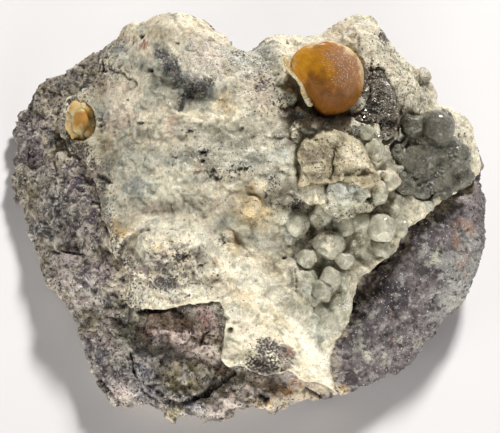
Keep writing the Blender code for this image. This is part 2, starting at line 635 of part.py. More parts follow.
def ball_builder(centre, radii, facets, seat_depth=None):
    """A ball in the face frame; where it has a seat, its hidden foot is cut flat."""
    built = bmesh.new()
    bmesh.ops.create_uvsphere(built, u_segments=facets[0], v_segments=facets[1], radius=1.0)
    bmesh.ops.scale(built, vec=radii, verts=built.verts)
    if seat_depth is not None:
        everything = built.verts[:] + built.edges[:] + built.faces[:]
        cut = bmesh.ops.bisect_plane(
            built, geom=everything, plane_co=(0, 0, -seat_depth), plane_no=(0, 0, -1), clear_outer=True
        )
        rim = [item for item in cut["geom_cut"] if isinstance(item, bmesh.types.BMEdge)]
        bmesh.ops.edgeloop_fill(built, edges=rim)
    spots = place([Vector(centre) + vertex.co for vertex in built.verts])
    for vertex, spot in zip(built.verts, spots):
        vertex.co = spot
    return built


def combine(obj, operation, others, name):
    """Join the shapes to an object, or cut them from it, as one Boolean."""
    group = bpy.data.collections.new(name)
    bpy.context.scene.collection.children.link(group)
    for other in others:
        bpy.context.collection.objects.unlink(other)
        group.objects.link(other)
        other.hide_render = True
        other.display_type = "WIRE"
    modifier = obj.modifiers.new(name, "BOOLEAN")
    modifier.operation = operation
    modifier.operand_type = "COLLECTION"
    modifier.collection = group
    modifier.solver = "EXACT"


# The pieces

def closed_ring(ring):
    return list(ring) + [ring[0]]


def seat_lines(centre, radii, count):
    """Rings at the lip and the wall of a ball's seat."""
    lip = ellipse_ring(centre, radii, SEAT_GAP + LIP_WIDTH, count)
    wall_radii = [radius * SEAT_WALL for radius in radii]
    wall = ellipse_ring(centre, wall_radii, SEAT_GAP * SEAT_WALL_GAP, count)
    return [closed_ring(lip), closed_ring(wall)]


def pocket_lines(ring, margin):
    """Rings at the lip and the wall of the pocket around a piece with this outline."""
    rings = [grown_ring(ring, margin + LIP_WIDTH), grown_ring(ring, margin)]
    return [with_short_edges(closed_ring(line), POCKET_EDGE) for line in rings]


def hidden_sheet():
    """Triangles where the crust lies on the rock, coarse because nothing shows there."""
    return triangulate([closed_ring(CRUST_OUTLINE)], HIDDEN_STEP, under_crust, HIDDEN_GRID)


def under_crust(points):
    return inside(points, CRUST_OUTLINE)


def open_rock(points):
    return inside(points, FULL_OUTLINE) & ~inside(points, CRUST_OUTLINE)


def crust_lines():
    """Every line that the crust's face has among its edges."""
    lines = [closed_ring(CRUST_OUTLINE)]
    lines += seat_lines(BALL_CENTRE, BALL_RADII, BALL_RING_POINTS)
    lines += pocket_lines(BLOCK_TOP, BLOCK_FLARE + PIECE_GAP)
    lines += pocket_lines(DRUSE_OUTLINE, PIECE_GAP)
    lines += seat_lines(SMALL_BALL_CENTRE, SMALL_BALL_RADII, SMALL_BALL_RING_POINTS)
    return lines


def add_crust():
    points, faces = triangulate(crust_lines(), CRUST_STEP, under_crust, CRUST_GRID)
    top = place(lifted(points, crust_level(points)))[faces]
    points, faces = hidden_sheet()
    bottom = place(lifted(points, crust_floor(points)))[faces][:, ::-1]
    edge = np.array(CRUST_OUTLINE)
    side = strip(place(lifted(edge, crust_level(edge))), place(lifted(edge, crust_floor(edge))))
    material = new_material("chalcedony_crust", (0.62, 0.58, 0.46), 0.5)
    crust = add_object("chalcedony_crust", builder_of(np.concatenate([top, bottom, side])), material)
    grown = [botryoid(*shape) for shape in BOTRYOIDS]
    combine(crust, "UNION", grown, "botryoids")
    seats = [cluster_seat(*shape) for shape in CLUSTER]
    combine(crust, "DIFFERENCE", seats, "cluster_seats")
    return crust


def cluster_seat(centre, radius):
    shape = ball_builder(centre, [radius + SEAT_GAP] * 3, CLUSTER_SEAT_FACETS)
    return add_object("cluster_seat", shape)


def botryoid(spot, radius, stand):
    """A ball on the crust, whose centre stands out from the face by a given height."""
    spot = np.array([spot])
    level = float((BROAD_LEVEL(spot) + features(spot) - edge_drop(spot))[0])
    centre = (*spot[0], level + stand)
    return add_object("botryoid", ball_builder(centre, [radius] * 3, BOTRYOID_FACETS))


def add_rock():
    lines = [closed_ring(FULL_OUTLINE), CRUST_EDGE]
    points, faces = triangulate(lines, ROCK_STEP, open_rock, ROCK_GRID)
    front = place(lifted(points, rock_level(points)))[faces]
    points, faces = hidden_sheet()
    under = place(lifted(points, crust_floor(points) - PIECE_GAP))[faces]
    rim = np.array(FULL_OUTLINE)
    wall, foot = rock_wall(place(lifted(rim, rock_level(rim))))
    shape = builder_of(np.concatenate([front, under, wall, foot]))
    material = new_material("volcanic_matrix", (0.2, 0.17, 0.17), 0.8)
    return add_object("volcanic_matrix", shape, material)


def smoothed(loop, passes):
    for _ in range(passes):
        loop = 0.5 * loop + 0.25 * (np.roll(loop, 1, axis=0) + np.roll(loop, -1, axis=0))
    return loop


def rock_wall(rim):
    """The rock's sides, down from the face's rim to a flat foot, and the foot itself."""
    rim = rim / MM
    ahead = np.roll(rim, -1, axis=0) - np.roll(rim, 1, axis=0)
    out = smoothed(np.column_stack([-ahead[:, 1], ahead[:, 0]]), WALL_SMOOTHING)
    out /= np.hypot(*out.T)[:, None]
    front = np.clip(-out[:, 1], 0.0, 1.0)
    tall = rim[:, 2]
    inset = FOOT_INSET + tall * (BACK_TAPER + (FOOT_UNDERCUT - BACK_TAPER) * front)
    foot = smoothed(rim[:, :2] - out * inset[:, None], FOOT_SMOOTHING)
    back = 1.0 - front
    rings = [rim]
    for ring in range(1, WALL_RINGS + 1):
        share = ring / WALL_RINGS
        middle = math.sin(math.pi * share)
        swell = BACK_BULGE * tall * back * middle
        level = np.column_stack([rim[:, :2] * (1.0 - share) + foot * share, tall * (1.0 - share)])
        rough = grain(level, WALL_GRAIN, WALL_SEED) * np.minimum(tall / ROUGH_FROM_HEIGHT, 1.0) * middle
        level[:, :2] += out * (swell + rough * back)[:, None]
        rings.append(level)
    sides = [strip(upper, lower) for upper, lower in zip(rings[:-1], rings[1:])]
    return np.concatenate(sides) * MM, flat_fill(rings[-1]) * MM


def flat_fill(loop):
    """Triangles that close a level loop, facing down."""
    line = [tuple(point) for point in loop[:, :2]]
    points, faces = triangulate([closed_ring(line)], FOOT_STEP, lambda p: inside(p, line), FOOT_GRID)
    return lifted(points, np.full(len(points), loop[0, 2]))[faces][:, ::-1]


def add_ball():
    shape = ball_builder(BALL_CENTRE, BALL_RADII, BALL_FACETS, BALL_SEAT_DEPTH)
    material = new_material("ferrierite_amber", (0.72, 0.36, 0.06), 0.35, 0.3)
    return add_object("ferrierite_ball", shape, material, BALL_SMOOTH_BELOW)


def add_small_ball():
    shape = ball_builder(
        SMALL_BALL_CENTRE, SMALL_BALL_RADII, SMALL_BALL_FACETS, SMALL_BALL_SEAT_DEPTH
    )
    material = new_material("ferrierite_honey", (0.7, 0.52, 0.24), 0.4, 0.2)
    return add_object("small_ferrierite_ball", shape, material, BALL_SMOOTH_BELOW)


def add_block():
    """The calcite block: a flat top with sloping sides, and a crack that splits it in two steps."""
    top = np.array(BLOCK_TOP)
    base = np.array(grown_ring(BLOCK_TOP, BLOCK_FLARE))
    level = block_level(top)
    upper = place(lifted(top, level + np.where(top[:, 0] < BLOCK_SPLIT, 0.0, BLOCK_STEP)))
    lower = place(lifted(base, block_level(base) - BLOCK_DEPTH))
    built = bmesh.new()
    above = [built.verts.new(point) for point in upper]
    below = [built.verts.new(point) for point in lower]
    built.faces.new(above[::-1])
    built.faces.new(below)
    for index in range(len(above)):
        after = (index + 1) % len(above)
        built.faces.new([above[index], above[after], below[after], below[index]])
    bmesh.ops.triangulate(built, faces=built.faces)
    return add_object("calcite_block", built, new_material("calcite_tan", (0.66, 0.6, 0.45), 0.45))


def add_cluster():
    shapes = [ball_builder(centre, [radius] * 3, CLUSTER_FACETS) for centre, radius in CLUSTER]
    material = new_material("glassy_chalcedony", (0.3, 0.31, 0.26), 0.2, 0.4)
    cluster = add_object("glassy_botryoids", shapes[0], material, CLUSTER_SMOOTH_BELOW)
    others = [add_object("glassy_botryoid", shape) for shape in shapes[1:]]
    combine(cluster, "UNION", others, "glassy_botryoid_shapes")
    return cluster


def druse_floor(points):
    return BROAD_LEVEL(points) - edge_drop(points) + features(points) - DRUSE_THICKNESS


def add_druse():
    """A thin crust of small pointed crystals."""
    line = with_short_edges(closed_ring(DRUSE_OUTLINE), DRUSE_EDGE_STEP)
    points, faces = triangulate([line], DRUSE_STEP, lambda p: inside(p, line), DRUSE_GRID)
    chance = np.random.default_rng(DRUSE_POINTS_SEED)
    floor = druse_floor(points) + DRUSE_GAP
    points_up = chance.uniform(0.0, 1.0, len(points)) ** 2 * DRUSE_POINT
    edge = np.array(line[:-1])
    points_up[:len(edge)] = 0.0
    top = place(lifted(points, floor + DRUSE_BODY + points_up))[faces]
    bottom = place(lifted(points, floor))[faces][:, ::-1]
    edge_floor = druse_floor(edge) + DRUSE_GAP
    side = strip(place(lifted(edge, edge_floor + DRUSE_BODY)), place(lifted(edge, edge_floor)))
    material = new_material("dark_druse", (0.16, 0.15, 0.13), 0.25)
    return add_object("cavity_druse", builder_of(np.concatenate([top, bottom, side])), material)


def set_on_ground(objects):
    """Move every vertex so that the origin lies under the middle of the specimen."""
    spots = np.array([vertex.co for obj in objects for vertex in obj.data.vertices])
    middle = (spots.min(axis=0) + spots.max(axis=0)) / 2.0
    shift = Vector((-middle[0], -middle[1], 0.0))
    for obj in bpy.data.objects:
        for vertex in obj.data.vertices:
            vertex.co += shift


def main():
    for obj in list(bpy.data.objects):
        bpy.data.objects.remove(obj, do_unlink=True)
    pieces = [add_crust(), add_rock()]
    pieces += [add_ball(), add_small_ball(), add_block(), add_cluster(), add_druse()]
    set_on_ground(pieces)


main()
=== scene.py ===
"""Looks of the ferrierite specimen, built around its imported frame.

The face is described as part.py describes it: u runs right, v up the face and w out of it, in
millimetres. Marks on the face are placed by photo pixels, which photo_spot turns into u and v.
"""

import itertools
import math

import bmesh
import bpy
import numpy as np
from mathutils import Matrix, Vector
from mathutils.bvhtree import BVHTree


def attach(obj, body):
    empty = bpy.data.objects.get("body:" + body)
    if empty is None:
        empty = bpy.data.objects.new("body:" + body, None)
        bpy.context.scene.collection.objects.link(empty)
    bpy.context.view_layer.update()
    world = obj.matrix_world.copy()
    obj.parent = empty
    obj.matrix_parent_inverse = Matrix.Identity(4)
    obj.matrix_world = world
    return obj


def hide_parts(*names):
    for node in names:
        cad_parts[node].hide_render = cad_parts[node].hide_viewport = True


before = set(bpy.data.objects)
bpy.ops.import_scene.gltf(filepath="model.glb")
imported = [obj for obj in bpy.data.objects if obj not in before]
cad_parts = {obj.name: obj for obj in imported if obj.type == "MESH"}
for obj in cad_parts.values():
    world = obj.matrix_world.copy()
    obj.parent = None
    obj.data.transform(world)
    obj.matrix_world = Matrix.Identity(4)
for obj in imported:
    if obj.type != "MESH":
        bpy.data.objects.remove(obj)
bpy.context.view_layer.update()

MM = 0.001

# Pose of the face, as in part.py, and how far the model was moved to stand over its origin
FACE_ANGLE = math.radians(60.0)
VIEW_DISTANCE = 300.0
FACE_HEIGHT = 22.5
ORIGIN_SHIFT = (0.957, -7.331)

# Photograph: its middle and the size of a pixel on the face, millimetres
PHOTO_MIDDLE = (250.0, 216.5)
PIXEL = 0.14
PHOTO_WIDTH = 500
SENSOR_WIDTH = 36.0

TO_CAMERA = np.array([0.0, -math.cos(FACE_ANGLE), math.sin(FACE_ANGLE)])


# The face frame

def to_scene(points):
    """Points (u, v, w) in millimetres as scene positions in metres."""
    points = np.atleast_2d(np.asarray(points, float))
    spread = (VIEW_DISTANCE - points[:, 2]) / VIEW_DISTANCE
    across = points[:, 0] * spread + ORIGIN_SHIFT[0]
    up = points[:, 1] * spread
    back = up * math.sin(FACE_ANGLE) - points[:, 2] * math.cos(FACE_ANGLE) + ORIGIN_SHIFT[1]
    height = FACE_HEIGHT + up * math.cos(FACE_ANGLE) + points[:, 2] * math.sin(FACE_ANGLE)
    return np.column_stack([across, back, height]) * MM


def to_face(points):
    """Scene positions in metres as (u, v, w) in millimetres."""
    across = points[:, 0] / MM - ORIGIN_SHIFT[0]
    back = points[:, 1] / MM - ORIGIN_SHIFT[1]
    height = points[:, 2] / MM - FACE_HEIGHT
    out = height * math.sin(FACE_ANGLE) - back * math.cos(FACE_ANGLE)
    up = back * math.sin(FACE_ANGLE) + height * math.cos(FACE_ANGLE)
    spread = (VIEW_DISTANCE - out) / VIEW_DISTANCE
    return np.column_stack([across / spread, up / spread, out])


def photo_spot(x, y):
    """Place (u, v) on the face of a photo pixel."""
    return (x - PHOTO_MIDDLE[0]) * PIXEL, (PHOTO_MIDDLE[1] - y) * PIXEL


def photo_pixels(points):
    """Photo pixels (x, y) of scene positions."""
    face = to_face(points)
    return PHOTO_MIDDLE[0] + face[:, 0] / PIXEL, PHOTO_MIDDLE[1] - face[:, 1] / PIXEL


def mesh_arrays(mesh):
    """Points and triangles of a mesh."""
    mesh.calc_loop_triangles()
    points = np.array([vertex.co for vertex in mesh.vertices], float)
    return points, np.array([triangle.vertices for triangle in mesh.loop_triangles], np.int64)


def joined(meshes):
    """Points and triangles of several meshes as one."""
    starts = np.cumsum([0] + [len(points) for points, _ in meshes])
    faces = [faces + start for (_, faces), start in zip(meshes, starts)]
    return np.vstack([points for points, _ in meshes]), np.vstack(faces)


def tree_of(*names):
    """Search tree over the named CAD nodes."""
    points, faces = joined([mesh_arrays(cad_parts[name].data) for name in names])
    return BVHTree.FromPolygons(points.tolist(), faces.tolist())


CAMERA_SPOT = Vector(to_scene([(0.0, 0.0, VIEW_DISTANCE)])[0])
STONE_TREE = tree_of("chalcedony_crust", "volcanic_matrix")
WHOLE_TREE = tree_of(*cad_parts)
DRUSE_TREE = tree_of("chalcedony_crust", "cavity_druse", "glassy_botryoids")


def seen_at(tree, u, v):
    """Scene position and normal of the surface that the camera sees at (u, v), or None."""
    towards = Vector(to_scene([(u, v, 0.0)])[0]) - CAMERA_SPOT
    spot, normal, _, _ = tree.ray_cast(CAMERA_SPOT, towards.normalized())
    return None if spot is None else (np.array(spot), np.array(normal))


def level_at(tree, u, v):
    """Height w of the surface that the camera sees at (u, v)."""
    hit = seen_at(tree, u, v)
    return None if hit is None else to_face(hit[0][None, :])[0, 2]


# Noise over points in millimetres

def hashed(cells, seed):
    """A steady number from 0 to 1 for each whole-numbered cell."""
    number = cells[:, 0] * 374761393 + cells[:, 1] * 668265263 + cells[:, 2] * 1442695041
    number = (number + seed * 974634777) & 0xFFFFFFFF
    number = ((number ^ (number >> 13)) * 1274126177) & 0xFFFFFFFF
    number = ((number ^ (number >> 16)) * 668265263) & 0xFFFFFFFF
    return ((number ^ (number >> 15)) & 0xFFFF) / 65535.0


def smooth_noise(points, size, seed):
    """Smooth noise from -1 to 1 whose lumps are about size across."""
    scaled = points / size + 0.37 * seed
    cells = np.floor(scaled).astype(np.int64)
    part = scaled - cells
    part = part * part * (3.0 - 2.0 * part)
    total = np.zeros(len(points))
    for corner in itertools.product((0, 1), repeat=3):
        weight = np.prod(np.where(corner, part, 1.0 - part), axis=1)
        total += weight * hashed(cells + np.array(corner), seed)
    return 2.0 * total - 1.0


def rough_noise(points, size, seed, octaves=3):
    """Sum of smooth noises, each half the size and height of the one before."""
    total = np.zeros(len(points))
    for step in range(octaves):
        total += smooth_noise(points, size / 2 ** step, seed + step) / 2 ** step
    return total


def cell_noise(points, size, seed):
    """Nearest and second nearest of scattered points, in sizes, the nearest's number and the way from it."""
    scaled = points / size
    base = np.floor(scaled).astype(np.int64)
    nearest = np.full(len(points), 9.0)
    second = np.full(len(points), 9.0)
    number = np.zeros(len(points))
    way = np.zeros((len(points), 3))
    for offset in itertools.product((-1, 0, 1), repeat=3):
        cells = base + np.array(offset)
        place = np.column_stack([hashed(cells, seed + axis) for axis in range(3)])
        towards = scaled - cells - place
        away = np.linalg.norm(towards, axis=1)
        closer = away < nearest
        second = np.where(closer, nearest, np.minimum(second, away))
        number = np.where(closer, hashed(cells, seed + 7), number)
        way = np.where(closer[:, None], towards, way)
        nearest = np.minimum(nearest, away)
    return nearest, second, number, way


def warped(points, size, reach, seed):
    """Points moved about by smooth noise, so that what is drawn on them looks natural."""
    return points + reach * np.column_stack([smooth_noise(points, size, seed + axis) for axis in range(3)])


def lumps(points, size, seed):
    """Rounded lumps that crowd together: height from 0 to 1, share of the creases, and each lump's number."""
    nearest, second, number, _ = cell_noise(points, size, seed)
    crown = np.sqrt(np.clip(1.0 - (nearest / 0.95) ** 2, 0.0, 1.0))
    return crown, 1.0 - eased(second - nearest, 0.0, 0.24), number


def facets(points, size, seed):
    """Height, from about -1 to 1, of flat faces that each lean their own way."""
    _, _, number, way = cell_noise(points, size, seed)
    lean = np.column_stack([np.modf(number * step)[0] for step in (7.0, 31.0, 113.0)]) - 0.5
    return 3.0 * (way * lean).sum(axis=1)


def eased(value, low, high):
    """Smooth step from 0 at low to 1 at high."""
    share = np.clip((value - low) / (high - low), 0.0, 1.0)
    return share * share * (3.0 - 2.0 * share)


# Mesh work

# A spot counts as seen when nothing farther from it than this hides it, millimetres
HIDDEN_BELOW = 0.9

# Passes that smooth a mass after it was built anew
MERGED_SMOOTHING = 12


def welded_arrays(name):
    """Points and triangles of a CAD node, with the points that share a place made one."""
    points, faces = mesh_arrays(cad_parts[name].data)
    _, first, index = np.unique(
        np.round(points / MM, 3), axis=0, return_index=True, return_inverse=True)
    faces = index.reshape(-1)[faces]
    whole = (faces[:, 0] != faces[:, 1]) & (faces[:, 1] != faces[:, 2]) & (faces[:, 2] != faces[:, 0])
    return points[first], faces[whole]


def edges_of(faces):
    """Each edge once, and the three edges of each triangle."""
    pairs = np.sort(faces[:, [0, 1, 1, 2, 2, 0]].reshape(-1, 2), axis=1)
    edges, index = np.unique(pairs, axis=0, return_inverse=True)
    return edges, index.reshape(-1, 3)


def split_long_edges(points, faces, limit):
    """One pass that halves every edge longer than its limit; limit gives one for each edge's middle."""
    edges, of_face = edges_of(faces)
    middles = (points[edges[:, 0]] + points[edges[:, 1]]) / 2.0
    lengths = np.linalg.norm(points[edges[:, 0]] - points[edges[:, 1]], axis=1)
    cut = lengths > limit(middles, lengths)
    new_index = np.where(cut, len(points) + np.cumsum(cut) - 1, -1)
    halves = new_index[of_face]
    count = (halves >= 0).sum(axis=1)
    made = [faces[count == 0]]
    for turn in range(3):
        order = np.roll(np.arange(3), -turn)
        a, b, c = faces[:, order].T
        ab, bc, ca = halves[:, order].T
        one = (count == 1) & (ab >= 0)
        made.append(np.column_stack([a, ab, c])[one])
        made.append(np.column_stack([ab, b, c])[one])
        two = (count == 2) & (ca < 0)
        made.append(np.column_stack([ab, b, bc])[two])
        made.append(np.column_stack([a, ab, bc])[two])
        made.append(np.column_stack([a, bc, c])[two])
    a, b, c = faces.T
    ab, bc, ca = halves.T
    for corner in ([a, ab, ca], [ab, b, bc], [ca, bc, c], [ab, bc, ca]):
        made.append(np.column_stack(corner)[count == 3])
    return np.vstack([points, middles[cut]]), np.vstack(made), cut.any()


def refined(points, faces, limit, passes=6):
    """Halve long edges until none is longer than its limit."""
    for _ in range(passes):
        points, faces, more = split_long_edges(points, faces, limit)
        if not more:
            break
    return points, faces


def relaxed(points, faces, passes):
    """Move each point half of the way to the middle of its neighbours, several times."""
    edges, _ = edges_of(faces)
    ends = np.concatenate([edges[:, 0], edges[:, 1]])
    others = np.concatenate([edges[:, 1], edges[:, 0]])
    count = np.bincount(ends, minlength=len(points))[:, None]
    points = points.copy()
    for _ in range(passes):
        total = np.column_stack(
            [np.bincount(ends, weights=points[others, axis], minlength=len(points)) for axis in range(3)])
        points += (total / count - points) * 0.5
    return points


def merged(points, faces, reach, step):
    """The same mass with narrow gaps filled: grown by the reach, built anew and drawn in again."""
    grown = points + point_normals(points, faces) * reach * MM
    mesh = bpy.data.meshes.new("draft")
    mesh.from_pydata(grown.tolist(), [], faces.tolist())
    draft = placed("draft", mesh)
    rebuild = draft.modifiers.new("rebuild", "REMESH")
    rebuild.mode = "VOXEL"
    rebuild.voxel_size = step * MM
    points, faces = mesh_arrays(draft.evaluated_get(bpy.context.evaluated_depsgraph_get()).to_mesh())
    bpy.data.objects.remove(draft)
    bpy.data.meshes.remove(mesh)
    points = relaxed(points, faces, MERGED_SMOOTHING)
    return points - point_normals(points, faces) * reach * MM, faces


def point_normals(points, faces):
    """Unit normal of each point, the mean of its triangles'."""
    corners = points[faces]
    flat = np.cross(corners[:, 1] - corners[:, 0], corners[:, 2] - corners[:, 0])
    total = np.column_stack([
        np.bincount(faces.reshape(-1), weights=np.repeat(flat[:, axis], 3), minlength=len(points))
        for axis in range(3)])
    return total / np.maximum(np.linalg.norm(total, axis=1, keepdims=True), 1e-20)


def raised(points, faces, height):
    """The points moved out by a height in millimetres."""
    return points + point_normals(points, faces) * (height * MM)[:, None]


def placed(name, data):
    """Object with that data, in the scene."""
    obj = bpy.data.objects.new(name, data)
    bpy.context.scene.collection.objects.link(obj)
    return obj


def mesh_object(name, points, faces, material, smooth=True):
    """Object of that mesh, riding on the specimen."""
    mesh = bpy.data.meshes.new(name)
    mesh.from_pydata(points.tolist(), [], faces.tolist())
    mesh.validate()
    mesh.materials.append(material)
    mesh.polygons.foreach_set("use_smooth", [smooth] * len(mesh.polygons))
    obj = placed(name, mesh)
    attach(obj, "root")
    return obj


def add_paint(obj, colours, **shares):
    """Linear colour of each point, and the shares by which its material varies."""
    data = obj.data.color_attributes.new("paint", "FLOAT_COLOR", "POINT")
    full = np.column_stack([colours, np.ones(len(colours))]).astype(np.float32)
    data.data.foreach_set("color", full.reshape(-1))
    for name, share in shares.items():
        data = obj.data.attributes.new(name, "FLOAT", "POINT")
        data.data.foreach_set("value", (share * np.ones(len(colours))).astype(np.float32))


# Colour

def linear(red, green, blue):
    """Linear colour of screen levels from 0 to 255."""
    levels = np.array([red, green, blue], float) / 255.0
    return np.where(levels <= 0.04045, levels / 12.92, ((levels + 0.055) / 1.055) ** 2.4)


def plain(points, colour):
    """One screen colour for all the points."""
    return np.tile(linear(*colour), (len(points), 1))


def painted(colours, *layers):
    """The colours under layers of paint, each a share for every point and a screen colour."""
    for share, colour in layers:
        colours = colours + (linear(*colour) - colours) * np.clip(share, 0.0, 1.0)[:, None]
    return colours


def painted_spots(colours, x, y, patches, share=1.0, softness=0.5):
    """The colours under soft ellipses of paint, each patch a screen colour and its marks."""
    for colour, marks in patches:
        colours = painted(colours, (share * spots(x, y, marks, softness), colour))
    return colours


# Marks on the face, by photo pixel

def spots(x, y, marks, softness=0.5):
    """Strongest of some soft ellipses (x, y, half width, half height, strength, turn if any)."""
    strongest = np.zeros(len(x))
    for mark_x, mark_y, wide, high, strength, *turn in marks:
        angle = math.radians(sum(turn))
        across = (x - mark_x) * math.cos(angle) - (y - mark_y) * math.sin(angle)
        along = (x - mark_x) * math.sin(angle) + (y - mark_y) * math.cos(angle)
        away = np.hypot(across / wide, along / high)
        strongest = np.maximum(strongest, strength * (1.0 - eased(away, 1.0 - softness, 1.0 + softness)))
    return strongest


def strokes(x, y, lines, softness=0.6):
    """Strongest of some soft lines (points, half width, strength) at each point."""
    strongest = np.zeros(len(x))
    for line, half_width, strength in lines:
        away = np.full(len(x), 1e9)
        for (x0, y0), (x1, y1) in zip(line, line[1:]):
            span = np.array([x1 - x0, y1 - y0], float)
            share = np.clip(((x - x0) * span[0] + (y - y0) * span[1]) / span.dot(span), 0.0, 1.0)
            away = np.minimum(away, np.hypot(x - x0 - share * span[0], y - y0 - share * span[1]))
        away = away / half_width
        strongest = np.maximum(strongest, strength * (1.0 - eased(away, 1.0 - softness, 1.0 + softness)))
    return strongest


# Material nodes

class Nodes:
    """Short calls for building one material's nodes, with sizes and distances in millimetres."""

    def __init__(self, name):
        self.material = bpy.data.materials.new(name)
        self.material.use_nodes = True
        self.tree = self.material.node_tree
        self.shader = self.tree.nodes["Principled BSDF"]
        self.place = self.add("ShaderNodeTexCoord").outputs["Object"]

    def add(self, kind):
        return self.tree.nodes.new(kind)

    def join(self, source, target):
        if hasattr(source, "links"):
            self.tree.links.new(source, target)
        else:
            target.default_value = source

    def fill(self, node, **values):
        """Join or set sockets by name, with spaces written as underscores."""
        for name, value in values.items():
            self.join(value, node.inputs[name.replace("_", " ")])

    def noise(self, size, detail=3.0, roughness=0.6):
        node = self.add("ShaderNodeTexNoise")
        self.fill(node, Vector=self.place, Scale=1.0 / (size * MM), Detail=detail, Roughness=roughness)
        return node.outputs["Fac"]

    def cells(self, size):
        node = self.add("ShaderNodeTexVoronoi")
        self.fill(node, Vector=self.place, Scale=1.0 / (size * MM))
        return node.outputs["Distance"]

    def spread(self, value, low, high, out_low=0.0, out_high=1.0):
        node = self.add("ShaderNodeMapRange")
        self.fill(node, Value=value, From_Min=low, From_Max=high, To_Min=out_low, To_Max=out_high)
        return node.outputs["Result"]

    def crowded(self, noise, share, reach, level):
        """One where the noise is over a level, which the share lowers by as much as the reach."""
        lifted = self.maths("ADD", noise, self.maths("MULTIPLY", share, reach))
        return self.spread(lifted, level, level + 0.03)

    def maths(self, operation, first, second=0.0):
        node = self.add("ShaderNodeMath")
        node.operation = operation
        self.join(first, node.inputs[0])
        self.join(second, node.inputs[1])
        return node.outputs[0]

    def mix(self, share, first, second):
        node = self.add("ShaderNodeMix")
        node.data_type = "RGBA"
        self.join(share, node.inputs["Factor"])
        for value, name in ((first, "A_Color"), (second, "B_Color")):
            socket = next(item for item in node.inputs if item.identifier == name)
            self.join(value if hasattr(value, "links") else (*value, 1.0), socket)
        return next(item for item in node.outputs if item.identifier == "Result_Color")

    def attribute(self, name, output="Fac"):
        node = self.add("ShaderNodeAttribute")
        node.attribute_name = name
        return node.outputs[output]

    def bump(self, height, distance, strength=1.0, normal=None):
        node = self.add("ShaderNodeBump")
        self.fill(node, Height=height, Distance=distance * MM, Strength=strength)
        if normal is not None:
            self.join(normal, node.inputs["Normal"])
        return node.outputs["Normal"]

    def scaled(self, colour, share):
        """The colour made lighter or darker by a number."""
        node = self.add("ShaderNodeVectorMath")
        node.operation = "SCALE"
        self.join(colour, node.inputs[0])
        self.join(share, node.inputs["Scale"])
        return node.outputs["Vector"]

    def set(self, **values):
        """Join or set sockets of the shader."""
        self.fill(self.shader, **values)


def stone_material(name, speck_colour, translucency, roughness):
    """Painted stone with fine grain, dark specks of a screen colour and small glints."""
    nodes = Nodes(name)
    tone = nodes.spread(nodes.noise(0.55, 5.0, 0.8), 0.3, 0.7, 0.58, 1.4)
    fine_tone = nodes.spread(nodes.noise(0.17, 2.0, 0.6), 0.3, 0.7, 0.8, 1.18)
    toned = nodes.scaled(nodes.attribute("paint", "Color"), nodes.maths("MULTIPLY", tone, fine_tone))
    specks = nodes.crowded(nodes.noise(0.34, 2.0, 0.6), nodes.attribute("specks"), 0.2, 0.69)
    glints = nodes.crowded(nodes.noise(0.24, 2.0, 0.6), nodes.attribute("glints"), 0.14, 0.68)
    speckled = nodes.mix(specks, toned, linear(*speck_colour))
    rough = nodes.spread(nodes.noise(0.35, 2.0), 0.35, 0.65, roughness - 0.16, roughness + 0.14)
    nodes.set(
        Base_Color=nodes.mix(glints, speckled, (0.95, 0.95, 0.92)),
        Roughness=nodes.maths("SUBTRACT", rough, nodes.maths("MULTIPLY", glints, 0.3)),
        Normal=nodes.bump(nodes.noise(0.3, 5.0, 0.75), 0.2, 0.8),
    )
    if translucency:
        reach = {"Subsurface_Radius": (1.0, 0.9, 0.65), "Subsurface_Scale": 0.7 * MM}
        nodes.set(Subsurface_Weight=translucency, **reach)
    return nodes.material


# The pale crust: triangle size where the camera sees it and elsewhere in millimetres, passes of smoothing
CRUST_TRIANGLES = (0.35, 1.6)
CRUST_SMOOTHING = 5

# Screen colours of the crust
CREAM = (236, 224, 194)
BRIGHT_CREAM = (248, 240, 214)
PALE_GREY = (190, 190, 170)
PINKISH = (206, 186, 164)
MID_GREY = (140, 140, 122)
SPECK_DARK = (54, 46, 42)

